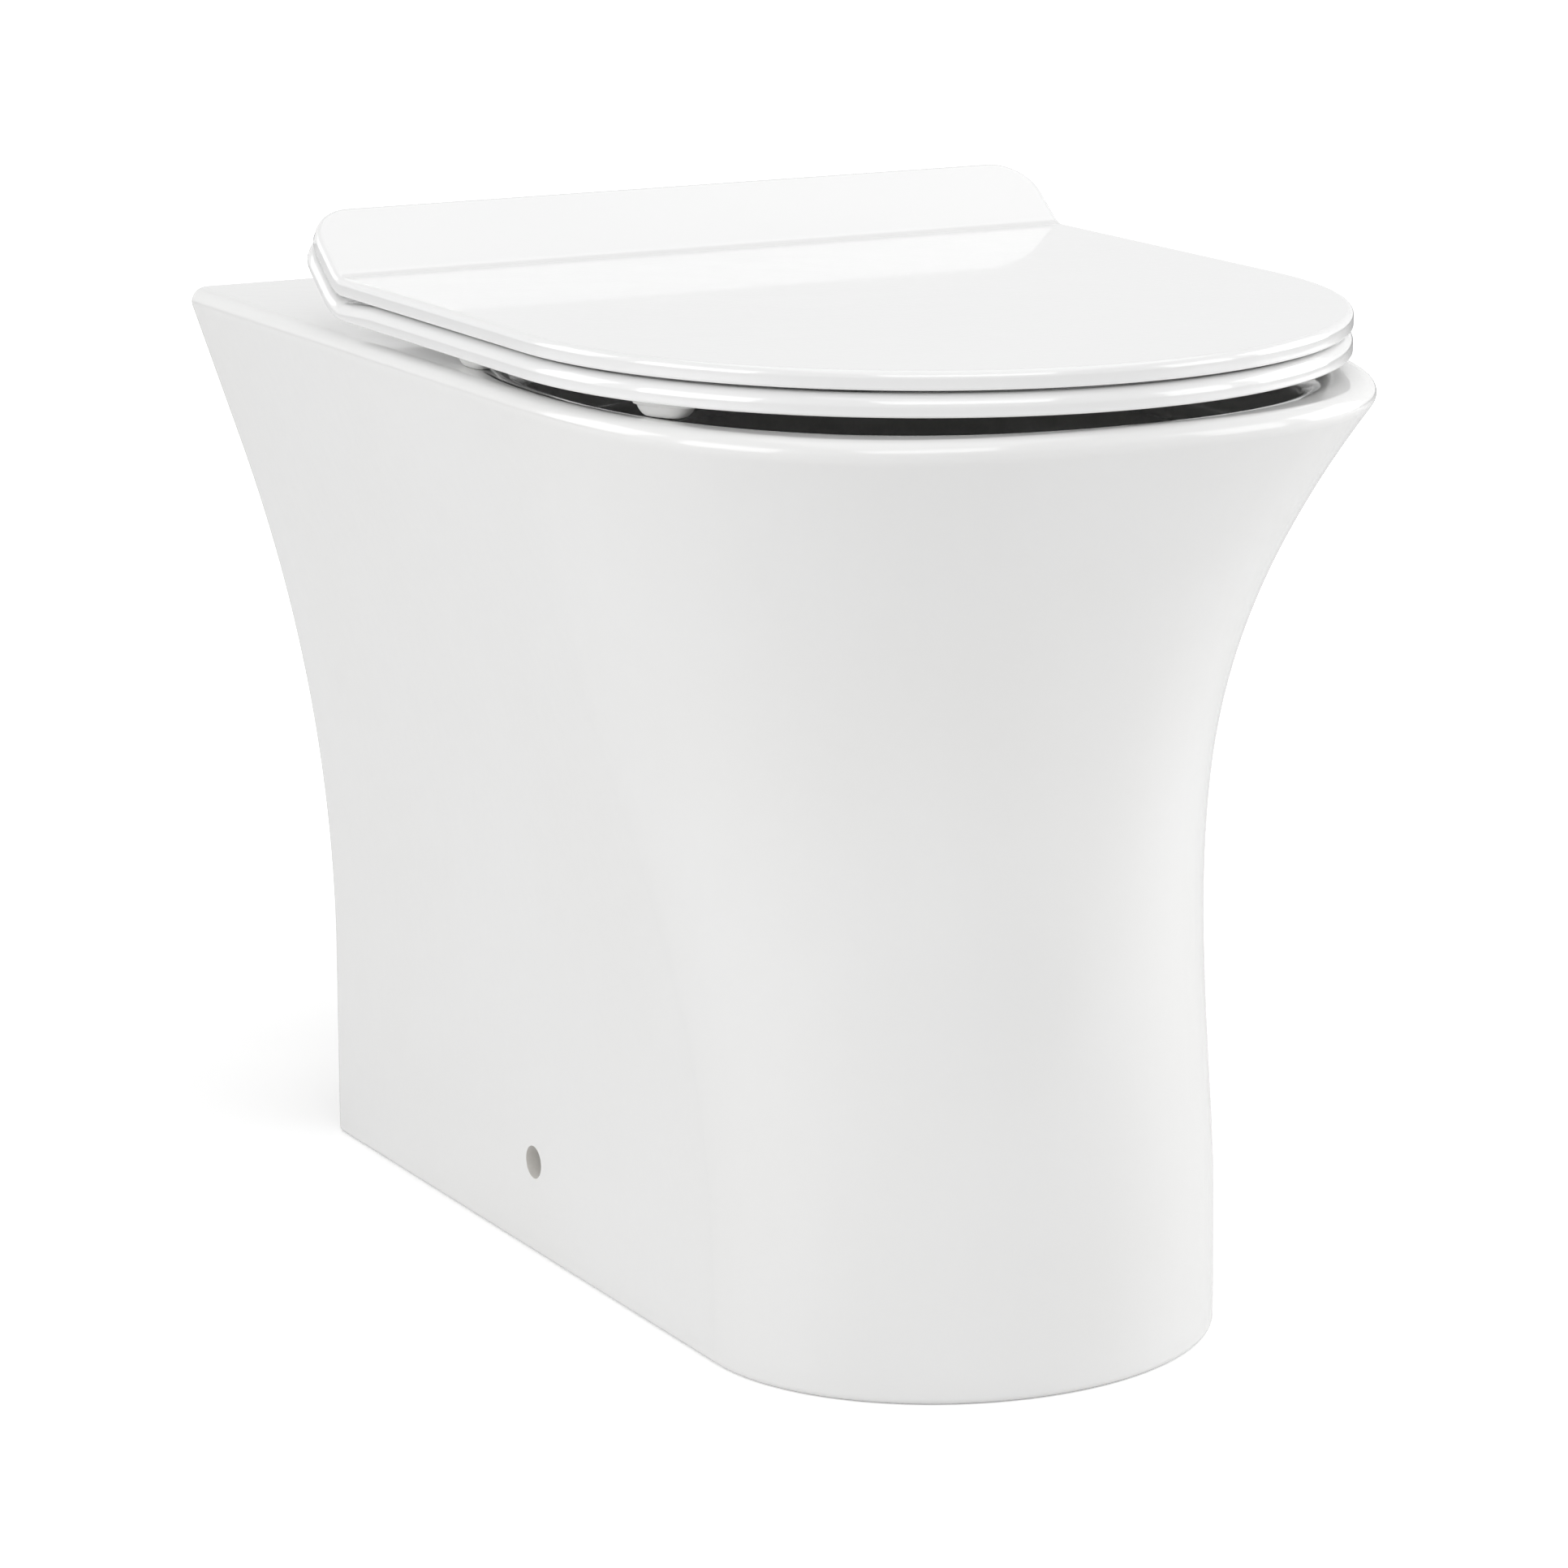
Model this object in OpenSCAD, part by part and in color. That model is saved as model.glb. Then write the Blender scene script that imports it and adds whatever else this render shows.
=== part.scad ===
// Floor standing back to wall toilet pan with a slim soft close seat and lid.
// Millimetres. +X is right as seen from the front, +Y points at the wall, +Z is up.
// The origin is on the floor, in the middle of the footprint box.
// Inside the modules a place is given by its distance in front of the wall, so y = -distance.

/* [Pan] */
// Height of the rim above the floor
pan_h = 400; // [385:1:430]
// Depth from the wall to the nose of the rim
pan_d = 515; // [505:1:530]
// Width over the rim
pan_w = 353; // [345:1:365]
// Width of the foot
foot_w = 225; // [215:1:240]
// Depth of the foot from the wall
foot_d = 472; // [462:1:480]
// Depth of the waist, where the front draws in
waist_d = 457; // [448:1:460]
// Height of the waist above the floor
waist_h = 235; // [210:1:250]
// Height at which the sides begin to flare
flare_h = 87; // [66:1:120]
// Lean of the sides just under the rim, in degrees
side_lean = 19.2; // [17:0.2:22]
// Lean of the nose just under the rim, in degrees
nose_lean = 36; // [34:0.5:40]
// Length of the curved front at the foot
foot_front = 100; // [90:1:110]
// Length of the curved front at the rim
rim_front = 222; // [210:1:230]
// Radius rolled over the outer edge of the rim
rim_round = 6; // [4:0.5:8]
// Radius of the two upright back corners
back_round = 4; // [2:0.5:6]
// Thickness of the skirt walls
skirt_t = 12; // [10:0.5:14]
// Thickness of the deck behind the bowl
deck_t = 16; // [13:0.5:20]

/* [Bowl] */
// Half width of the opening in the rim
bowl_half = 150; // [145:0.5:154]
// Distance of the front of the opening from the wall
bowl_front = 489; // [480:0.5:492]
// Distance of the back of the opening from the wall
bowl_back = 193; // [188:0.5:200]
// Radius of the inner edge of the rim
lip_round = 3; // [2:0.5:4]
// Thickness of the bowl shell
bowl_t = 9; // [7:0.5:11]
// Depth of the flush shelf below the rim
shelf_drop = 38; // [32:1:44]
// Width of the flush shelf
shelf_w = 12; // [8:1:16]

/* [Trap and pipes] */
// Height of the outlet centre above the floor
outlet_h = 180; // [175:1:185]
// Outside diameter of the outlet spigot
outlet_od = 102; // [98:0.5:110]
// Length of the outlet spigot
outlet_len = 40; // [34:1:42]
// Distance of the spigot end from the wall
outlet_back = 20; // [12:1:26]
// Bore of the trapway
trap_bore = 72; // [64:1:74]
// Wall of the trapway
trap_t = 8; // [7:0.5:9]
// Bend radius of the two upper trap bends
trap_bend = 46; // [45:0.5:50]
// Height of the trap crest above the outlet centre
crest_rise = 110; // [104:1:112]
// Height of the flush inlet centre above the floor
inlet_h = 335; // [333:1:338]
// Bore of the flush inlet
inlet_bore = 55; // [52:0.5:57]
// Wall round the flush inlet
inlet_t = 9; // [7:0.5:10]
// Distance of the flush inlet mouth from the wall
inlet_back = 25; // [15:1:35]

/* [Floor fixing] */
// Height of the side fixing holes
side_hole_h = 41.5; // [38:0.5:46]
// Distance of the side fixing holes from the wall
side_hole_back = 207; // [190:1:225]
// Diameter of the side fixing holes
side_hole_d = 14.5; // [12:0.5:16]
// Width of a floor bracket
bracket_w = 44; // [38:1:52]
// Height of a floor bracket
bracket_h = 62; // [58:1:70]
// Reach of the bracket foot along the floor
bracket_foot = 42; // [36:1:50]
// Thickness of the bracket
bracket_t = 5; // [4:0.5:6]
// Diameter of the floor screw hole in the bracket
floor_hole_d = 8.5; // [7:0.5:10]
// Diameter of the tapped hole behind the side hole
tapped_hole_d = 6.8; // [5:0.1:8]

/* [Seat and lid] */
// Width of the seat and the lid
seat_w = 355; // [348:1:360]
// Distance of the seat nose from the wall
seat_front = 514; // [508:1:518]
// Gap between the rim and the seat
buffer_h = 7; // [6:0.25:8]
// Thickness of the seat ring
ring_t = 7.5; // [7:0.25:9]
// Gap between the seat and the lid
lid_gap = 2.9; // [2.5:0.1:3.5]
// Thickness of the lid
lid_t = 7.6; // [6.5:0.1:9]
// Radius of the upper edges of seat and lid
edge_top = 3; // [2:0.25:3.25]
// Radius of the lower edges of seat and lid
edge_low = 1.2; // [0.8:0.1:2]
// Distance from the wall at which the back begins to turn up
kick_back = 166; // [162:1:172]
// Slope of the turned up back, in degrees
kick_angle = 38; // [34:1:40]
// Bend radius on top of the lid at the turned up back
kick_bend = 12; // [8:1:16]
// Length of the turned up flap past the bend
flap_len = 36.5; // [34:0.5:38]
// Plan radius of the back corners
flap_corner = 20; // [14:1:26]
// Width of the seat ring beside its opening
ring_side = 59.5; // [55:0.5:66]
// Distance of the back of the seat opening from the wall
hole_back = 207; // [200:1:215]
// Radius of the back corners of the seat opening
hole_corner = 84; // [70:1:95]
// Depth of the dished underside of the lid
dish_d = 2.4; // [1.5:0.1:3]
// Width of the full thickness border of the lid
dish_border = 16; // [12:1:22]

/* [Hinges] */
// Distance between the two hinge centres
hinge_c = 155; // [150:1:160]
// Distance of the hinge axis from the wall
axis_back = 124.5; // [123:0.5:126]
// Height of the hinge axis above the rim
axis_up = 30; // [29:0.5:31.5]
// Diameter of the hinge barrels
barrel_d = 14; // [13:0.5:14.5]
// Width of a hinge post
post_w = 14; // [12:0.5:16]
// Thickness of a hinge post stem
stem_t = 7; // [6:0.5:7.5]
// Length of a knuckle on the seat or the lid
knuckle_w = 18; // [16:0.5:22]
// Diameter of a damper cartridge
damper_d = 9; // [8:0.25:9.5]
// Diameter of a pivot pin
pin_d = 6; // [5:0.25:6.5]
// Diameter of the hinge base plate
base_d = 38; // [34:1:40]
// Thickness of the hinge base plate
base_t = 3; // [2.5:0.25:3.5]
// Thickness of the gasket under a hinge base plate
gasket_t = 1; // [0.5:0.25:1.5]
// Distance of the fixing holes in the deck from the wall
fixing_back = 142; // [140:0.5:144]
// Diameter of the fixing holes in the deck
fixing_d = 14.5; // [13:0.5:16]
// Diameter of the fixing screw
screw_d = 6; // [5:0.5:6]
// Height of the hinge foot on its base plate
foot_h = 6; // [5.5:0.25:6.5]
// Travel of the release button
button_travel = 2.5; // [1.5:0.25:3]

/* [Fits] */
// Radial clearance of a shaft that turns
turn_gap = 0.05; // [0.02:0.01:0.08]
// Clearance beside a sliding button
slide_gap = 0.3; // [0.2:0.05:0.4]
// Side clearance between hinge parts
side_gap = 0.5; // [0.4:0.05:0.8]
// Radial clearance of a screw in its hole
screw_gap = 0.3; // [0.1:0.05:0.4]
// Radial clearance of a sleeve in the deck and of a screw in a sleeve
sleeve_gap = 0.15; // [0.05:0.05:0.25]
// Radial clearance of the threads
thread_gap = 0.02; // [0.01:0.01:0.05]
// Gap between a floor bracket and the skirt
bracket_gap = 0.3; // [0.2:0.1:0.8]

/* [Hidden] */
$fn = 48;
cut = 1;             // how far a cut runs past a face
side_steps = 14;     // segments in each quarter of the curved front
bowl_steps = 8;      // segments in each quarter of the bowl
china = [0.95, 0.95, 0.94];
plastic = [0.97, 0.97, 0.97];
rubber = [0.75, 0.75, 0.76];
steel = [0.72, 0.73, 0.75];
chrome = [0.85, 0.86, 0.88];

// heights of the stack on the rim
ring_low = pan_h + buffer_h;
lid_low = ring_low + ring_t + lid_gap;
lid_top = lid_low + lid_t;
stack_t = lid_t + lid_gap;             // from the lid's top down to the seat's top
seat_r = seat_w / 2;
nose_c = seat_front - seat_r;          // distance of the centre of the round nose
hole_r = seat_r - ring_side;
axis_z = pan_h + axis_up;
barrel_r = barrel_d / 2;
base_z = pan_h + gasket_t;
foot_z = base_z + base_t;
hinge_foot_w = 26;                     // width of the foot of a hinge post
foot_front_back = fixing_back + screw_d;       // distance of the front face of that foot
stem_back = axis_back + stem_t / 2;    // distance of the back face of the stem and the foot

// Profile of a wall that stands upright on its foot, flares, leans out straight and rolls over into the
// rim. It gives the reach of the wall at height z. low is the reach at the foot, start is where the
// flare begins at the earliest, reach is the largest reach and lean is the angle of the straight part.
function roll_z(lean) = pan_h - rim_round * (1 + sin(lean));
function flare_rise(low, reach, lean) = (reach - rim_round * (1 - cos(lean)) - low) / tan(lean);
function flare_at(z, low, start, reach, lean) =
    let (zt = roll_z(lean),
         z1 = zt - flare_rise(low, reach, lean),
         z0 = max(start, 2 * z1 - zt),
         z2 = 2 * z1 - z0)
    z >= zt ? reach - rim_round + sqrt(max(0, pow(rim_round, 2) - pow(z - pan_h + rim_round, 2)))
    : z >= z2 ? low + tan(lean) * (z - z1)
    : z > z0 ? low + tan(lean) * pow(z - z0, 2) / (2 * (z2 - z0))
    : low;
function ease(t) = let (s = min(1, max(0, t))) s * s * (3 - 2 * s);

toe_h = 60;          // height up to which the front of the foot is upright
foot_power = 2;      // exponent of the curved front's outline at the foot, an ellipse
rim_power = 2.8;     // exponent at the rim, where the outline is squarer
function side_at(z) = flare_at(z, foot_w / 2, flare_h, pan_w / 2, side_lean);
function nose_at(z) = flare_at(z, waist_d, waist_h, pan_d, nose_lean)
    + (foot_d - waist_d) * (1 - ease((z - toe_h) / (waist_h - toe_h)));
function front_at(z) = foot_front + (rim_front - foot_front) * pow(z / pan_h, 2);
function power_at(z) = foot_power + (rim_power - foot_power) * pow(z / pan_h, 3);

// Half of a section of the skirt, from the back corner round to the nose, at height z and drawn in by d
function skirt_half(z, d, steps, corner) =
    let (w = side_at(z) - d, nose = nose_at(z) - d, front = front_at(z) - d, n = power_at(z))
    concat([for (a = corner > 0 ? [0 : 45 : 90] : [90]) [w - corner * (1 - sin(a)), -corner * (1 - cos(a))]],
           [for (i = [0 : steps]) let (a = 90 * i / steps)
               [w * pow(cos(a), 2 / n), -(nose - front) - front * pow(sin(a), 2 / n)]]);
function mirrored(half) = concat(half, [for (i = [len(half) - 2 : -1 : 0]) [-half[i][0], half[i][1]]]);
function at_height(points, z) = [for (p = points) [p[0], p[1], z]];

// A closed solid through a stack of sections that all have the same number of points. The sections run
// clockwise seen from the top. Bent sections start at the nose and are the same left and right, and their
// ends are closed in strips from side to side.
module loft(rings, bent = false) {
    n = len(rings[0]);
    m = len(rings);
    points = [for (ring = rings) for (p = ring) p];
    sides = [for (j = [0 : m - 2]) for (i = [0 : n - 1])
             let (a = j * n + i, b = j * n + (i + 1) % n)
             for (f = [[a, b, b + n], [a, b + n, a + n]]) f];
    low = bent ? strips(n, 0, true) : [[for (i = [n - 1 : -1 : 0]) i]];
    high = bent ? strips(n, (m - 1) * n, false) : [[for (i = [0 : n - 1]) (m - 1) * n + i]];
    polyhedron(points, concat(low, high, sides), convexity = 8);
}
function strips(n, first, flip) =
    concat([flip ? [first + n - 1, first + 1, first] : [first, first + 1, first + n - 1]],
           [for (i = [1 : (n - 1) / 2 - 1]) let (l = first + i, r = first + n - i)
            for (f = flip ? [[r, r - 1, l + 1], [r, l + 1, l]] : [[l, l + 1, r - 1], [l, r - 1, r]]) f]);

// Skirt. Each level is [height, how far the outline is drawn in].
sole_round = 3;      // small radius round the foot
flare_steps = 12;
skirt_levels = concat(
    [for (z = [0, sole_round / 3, sole_round])
        [z, sole_round - sqrt(pow(sole_round, 2) - pow(sole_round - z, 2))]],
    [[toe_h * 2 / 3, 0], [toe_h, 0]],
    [for (i = [0 : flare_steps - 1]) [flare_h + (roll_z(nose_lean) - flare_h) * i / flare_steps, 0]],
    [for (a = [-nose_lean : 16 : 80]) [pan_h - rim_round * (1 - sin(a)), 0]],
    [[pan_h, 0]]);

module skirt_outside() {
    loft([for (level = skirt_levels)
          at_height(mirrored(skirt_half(level[0], level[1], side_steps, back_round)), level[0])]);
}

join_h = pan_h - 58;         // height at which the side walls have met the bowl
hollow_steps = 7;
pocket_gap = 14;             // china between the bowl shell and the hollow under the deck
pocket_lap = 10;             // overlap of the two hollows
pocket_front = bowl_back - bowl_t - pocket_gap;
module skirt_hollow() {
    loft([for (i = [0 : hollow_steps]) let (z = i == 0 ? -cut : join_h * i / hollow_steps)
          at_height([for (p = mirrored(skirt_half(max(z, 0), skirt_t, bowl_steps, 0)))
                     [p[0], p[1] > -cut ? cut : p[1]]], z)]);
    pocket_half = side_at(join_h - pocket_lap) - skirt_t;
    translate([-pocket_half, -pocket_front, join_h - pocket_lap])
        cube([2 * pocket_half, pocket_front + cut, pan_h - deck_t - join_h + pocket_lap]);
}

// Trapway: a low bend under the bowl, a rise, a bend over the crest, a fall and a bend into the outlet.
trap_tilt = 72;              // steepness of the rise and the fall
entry_tilt = -15;            // heading of the trapway where it leaves the bowl
entry_bend = 60;             // radius of the low bend
entry_back = 295;            // distance of the trap mouth from the wall
trap_sides = 20;
crest_z = outlet_h + crest_rise;
spigot_back = outlet_back + outlet_len;
bend_drop = trap_bend * (1 - cos(trap_tilt));
bend_run = trap_bend * sin(trap_tilt);
fall_run = (crest_rise - 2 * bend_drop) / tan(trap_tilt);
crest_back = spigot_back + 2 * bend_run + fall_run;
low_back = entry_back + entry_bend * sin(entry_tilt);      // middle of the low bend
rise_run = low_back - entry_bend * sin(trap_tilt) - crest_back - bend_run;
low_z = crest_z - bend_drop - rise_run * tan(trap_tilt) + entry_bend * cos(trap_tilt);

trap_low = low_z - entry_bend - trap_bore / 2;              // lowest point of the bore

// Round flush inlet. It ends just short of the outside of the bend over the crest, which rises under it.
inlet_gap = 3;
crest_round = trap_bend + trap_bore / 2 + trap_t;
inlet_over = inlet_h - inlet_bore / 2 - inlet_t - crest_z + trap_bend;   // height over that bend's centre
inlet_end = crest_back - sqrt(pow(crest_round, 2) - pow(inlet_over, 2)) - inlet_gap;
inlet_len = inlet_end - inlet_back;

// Bowl. Each level is [height, half width, distance of the front, distance of the back].
bowl_mid = 325;              // distance of the widest part of the bowl from the wall
back_power = 2.4;            // exponent of the bowl's outline behind its widest part
front_power = 2.3;           // and in front of it
bowl_fall = 0.9;             // exponent of the fall from below the shelf to the sump
fall_steps = 7;
sump_round = 8;              // radius between the bowl's wall and its floor
floor_z = trap_low - 3;      // the bowl's floor lies just below the trap
floor_grow = [4, 23, 29];    // how far it reaches past the trap at the sides, in front and behind
sump = [floor_z + sump_round, trap_bore / 2 + floor_grow[0],
        entry_back + floor_grow[1], entry_back - floor_grow[2]];
shelf_z = pan_h - shelf_drop;
shelf_fillet = 8;
throat_drop = 22;            // from the shelf down to where the fall begins
throat_in = 8;               // how far the sides and the back draw in on that way
throat = [shelf_z - throat_drop, bowl_half - shelf_w - throat_in,
          bowl_front - shelf_w - throat_drop, bowl_back + shelf_w + throat_in];
function rim_level(z, grow) = [z, bowl_half + grow, bowl_front + grow, bowl_back - grow];
function fall_level(u) = concat([throat[0] + (sump[0] - throat[0]) * u],
                                [for (k = [1 : 3]) sump[k] + (throat[k] - sump[k]) * pow(1 - u, bowl_fall)]);
upright_levels = [
    rim_level(pan_h, lip_round),
    rim_level(pan_h - lip_round * 0.3, lip_round * 0.3),
    rim_level(pan_h - lip_round, 0),
    rim_level(shelf_z + shelf_fillet, 0)];
lower_levels = concat(
    [rim_level(shelf_z, -shelf_w)],
    [for (i = [0 : fall_steps]) fall_level(sin(90 * i / fall_steps))],
    [for (a = [45, 90]) let (in = sump_round * (1 - cos(a)))
        [floor_z + sump_round * (1 - sin(a)), sump[1] - in, sump[2] - in, sump[3] + in]]);
fillet_level = rim_level(shelf_z + shelf_fillet / 4, -shelf_fillet * 3 / 8);
bowl_levels = concat(upright_levels, [fillet_level], lower_levels);

function oval_point(w, reach, power, a) = [w * pow(sin(a), 2 / power), reach * pow(cos(a), 2 / power)];
function bowl_half_points(w, front, back, steps) =
    concat([for (i = [0 : steps])
               [0, -bowl_mid] + oval_point(w, bowl_mid - back, back_power, 90 * i / steps)],
           [for (i = [1 : steps])
               [0, -bowl_mid] + oval_point(w, bowl_mid - front, front_power, 90 * (1 - i / steps))]);
function bowl_ring(level, grow, drop, steps) =
    let (half = bowl_half_points(level[1] + grow, level[2] + grow, level[3] - grow, steps))
    at_height(concat(half, [for (i = [len(half) - 2 : -1 : 1]) [-half[i][0], half[i][1]]]), level[0] - drop);
function reversed(list) = [for (i = [len(list) - 1 : -1 : 0]) list[i]];

module bowl_inside() {
    loft(concat([for (level = reversed(bowl_levels)) bowl_ring(level, 0, 0, bowl_steps + 2)],
                [bowl_ring(bowl_levels[0], 0, -cut, bowl_steps + 2)]));
}

module bowl_outside() {
    loft(concat([for (level = reversed(lower_levels))
                 bowl_ring(level, bowl_t, level[0] == floor_z ? bowl_t : 0, bowl_steps)],
                [bowl_ring(upright_levels[3], bowl_t, 0, bowl_steps)]));
}

// The trapway is swept along stations in the upright middle plane: [distance from the wall, height, heading]
function bend_stations(back, z, radius, from, to, steps) =
    [for (i = [0 : steps]) let (h = from + (to - from) * i / steps, turn = to > from ? 1 : -1)
     [back - turn * radius * sin(h), z - turn * radius * cos(h), h]];
function trap_stations(extra) = concat(
    bend_stations(low_back, low_z, entry_bend, entry_tilt, trap_tilt, 5),
    bend_stations(crest_back, crest_z - trap_bend, trap_bend, trap_tilt, -trap_tilt, 8),
    bend_stations(spigot_back, outlet_h + trap_bend, trap_bend, -trap_tilt, 0, 4),
    [[spigot_back - extra, outlet_h, 0]]);
module trapway(r, extra) {
    loft([for (p = trap_stations(extra)) [for (i = [0 : trap_sides - 1]) let (a = 360 * i / trap_sides)
        [-r * sin(a), -p[0] - r * cos(a) * sin(p[2]), p[1] + r * cos(a) * cos(p[2])]]]);
}

// Flush passage from the inlet at the back to the slot under the rim
slot_w = 72;
slot_h = 14;
slot_z = shelf_z + 1;        // the slot's floor lies just above the shelf
slot_reach = 4;              // how far the slot is cut into the bowl
slab_t = 2;                  // thickness of the slab that the passage ends in
module flush_passage(grow, lead = 0) {
    hull() {
        translate([0, -inlet_end + lead, inlet_h]) rotate([90, 0, 0])
            cylinder(d = inlet_bore + 2 * grow, h = cut + lead, $fn = 32);
        translate([-slot_w / 2 - grow, -bowl_back - slot_reach + grow, slot_z - grow])
            cube([slot_w + 2 * grow, slab_t, slot_h + 2 * grow]);
    }
}

module skirt() {
    difference() {
        skirt_outside();
        skirt_hollow();
    }
}

// The lower end of the skirt, which holds the side fixing holes, is a part of its own up to this height.
foot_part_h = (toe_h + flare_h) / 2;
module foot_space() {
    translate([-pan_w, -2 * pan_d, -cut]) cube([2 * pan_w, 3 * pan_d, foot_part_h + cut]);
}

module pan_foot() {
    color(china) from_wall() difference() {
        intersection() {
            skirt();
            foot_space();
        }
        for (side = [-1, 1])
            translate([side * (foot_w / 2 + cut), -side_hole_back, side_hole_h]) rotate([0, -90 * side, 0])
                cylinder(d = side_hole_d, h = skirt_t + 2 * cut);
    }
}

module pan() {
    color(china) from_wall() difference() {
        union() {
            difference() {
                skirt();
                foot_space();
            }
            intersection() {
                union() {
                    bowl_outside();
                    trapway(trap_bore / 2 + trap_t, outlet_len);
                    translate([0, -outlet_back, outlet_h]) rotate([90, 0, 0])
                        cylinder(d = outlet_od, h = outlet_len);
                    flush_passage(inlet_t);
                }
                translate([-pan_w / 2, -pan_d, 0]) cube([pan_w, pan_d, pan_h - rim_round]);
            }
        }
        bowl_inside();
        trapway(trap_bore / 2, outlet_len + cut);
        flush_passage(0, cut);
        for (side = [-1, 1])
            translate([side * hinge_c / 2, -fixing_back, pan_h - deck_t - cut])
                cylinder(d = fixing_d, h = deck_t + 2 * cut);
    }
}

// Round socket for the flush pipe, which carries on into the pan's flush passage
module inlet_horn() {
    color(china) from_wall() translate([0, -inlet_back, inlet_h]) rotate([90, 0, 0]) difference() {
        cylinder(d = inlet_bore + 2 * inlet_t, h = inlet_len);
        translate([0, 0, -cut]) cylinder(d = inlet_bore, h = inlet_len + 2 * cut);
    }
}

module from_wall() {
    translate([0, pan_d / 2, 0]) children();
}

// Edge of a seat or lid plate: [height above its lower face, how far the outline is drawn in]
function plate_layers(t) = concat(
    [for (a = [0 : 45 : 90]) [edge_low * (1 - cos(a)), edge_low * (1 - sin(a))]],
    [for (a = [0 : 30 : 90]) [t - edge_top * (1 - sin(a)), edge_top * (1 - cos(a))]]);

// A point of a plate. q is the place along the plate: millimetres in front of the bend below 0, then the
// angle in the bend, then millimetres past the bend. z is the height above the lid's top face.
function bent_point(x, q, z) =
    let (angle = min(max(q, 0), kick_angle), r = kick_bend - z)
    let (run = min(q, 0), rise = max(q - kick_angle, 0))
    [x, -kick_back + run + r * sin(angle) + rise * cos(angle),
     lid_top + kick_bend - r * cos(angle) + rise * sin(angle)];

// Right half of the outline from the nose to the back, drawn in by d: [across, place along the plate]
nose_steps = 20;
bend_steps = 6;
corner_steps = 5;
function plate_half(d) = concat(
    [for (i = [1 : nose_steps]) let (a = 90 * i / nose_steps)
        [(seat_r - d) * sin(a), kick_back - nose_c - (seat_r - d) * cos(a)]],
    [for (i = [0 : bend_steps]) [seat_r - d, kick_angle * i / bend_steps]],
    [for (i = [0 : corner_steps]) let (a = 90 * i / corner_steps)
        [seat_r - flap_corner + (flap_corner - d) * cos(a),
         kick_angle + flap_len - flap_corner + (flap_corner - d) * sin(a)]]);

// A plate with a round nose and a turned up back. drop is how far its top lies below the lid's top,
// and all plates bend round one centre, so that they stay parallel.
module seat_plate(t, drop) {
    loft([for (layer = plate_layers(t))
        let (z = layer[0] - t - drop, half = plate_half(layer[1]), last = len(half) - 1)
        concat([bent_point(0, kick_back - seat_front + layer[1], z)],
               [for (p = half) bent_point(-p[0], p[1], z)],
               [for (i = [last : -1 : 0]) bent_point(half[i][0], half[i][1], z)])], bent = true);
}

module hinge_x(from, to, r) {
    translate([from, -axis_back, axis_z]) rotate([0, 90, 0]) cylinder(r = r, h = to - from);
}

// Places along the hinge axis, outwards from the middle of the pan
post_in = hinge_c / 2 - post_w / 2;
post_out = hinge_c / 2 + post_w / 2;
seat_knuckle_in = post_in - side_gap - knuckle_w;
lid_knuckle_out = post_out + side_gap + knuckle_w;

// A barrel with a lug up to the plate that carries it, square to the flap
lug_short = 1;               // how much narrower than the barrel the lug is on each side
lug_lap = 1;                 // how far a lug runs into the lid, and how far it stays below the seat's top
module knuckle(from, to, lug_top) {
    hinge_x(from, to, barrel_r);
    translate([from, -axis_back, axis_z]) rotate([kick_angle, 0, 0])
        translate([0, lug_short - barrel_r, 0]) cube([to - from, 2 * (barrel_r - lug_short), lug_top]);
}
// Distance of the hinge axis below the lid's top face, square to the flap
axis_drop = (kick_back - axis_back) * sin(kick_angle) - (axis_z - lid_top - kick_bend) * cos(kick_angle)
    - kick_bend;

module seat_hole_2d() {
    translate([0, -nose_c]) circle(hole_r, $fn = 96);
    for (side = [-1, 1])
        translate([side * (hole_r - hole_corner), -hole_back - hole_corner]) circle(hole_corner);
    translate([-hole_r, -nose_c]) square([2 * hole_r, nose_c - hole_back - hole_corner]);
    translate([-(hole_r - hole_corner), -hole_back - hole_corner])
        square([2 * (hole_r - hole_corner), hole_corner]);
}

// What is cut away to round the upper edge of the seat opening
module rounding_tool() {
    difference() {
        translate([-cut, -edge_top]) square([edge_top + cut, edge_top + cut]);
        translate([edge_top, -edge_top]) circle(edge_top);
    }
}
module hole_rounding() {
    top = ring_low + ring_t;
    translate([0, -nose_c, top]) rotate([0, 0, 180]) rotate_extrude(angle = 180, $fn = 96)
        translate([hole_r, 0]) rounding_tool();
    for (side = [0, 1]) mirror([side, 0, 0]) {
        translate([0, -hole_back - hole_corner, top]) rotate([90, 0, 0])
            linear_extrude(nose_c - hole_back - hole_corner) translate([hole_r, 0]) rounding_tool();
        translate([hole_r - hole_corner, -hole_back - hole_corner, top])
            rotate_extrude(angle = 90) translate([hole_corner, 0]) rounding_tool();
    }
    translate([-(hole_r - hole_corner), -hole_back, top]) rotate([90, 0, 90])
        linear_extrude(2 * (hole_r - hole_corner)) rounding_tool();
}

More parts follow.
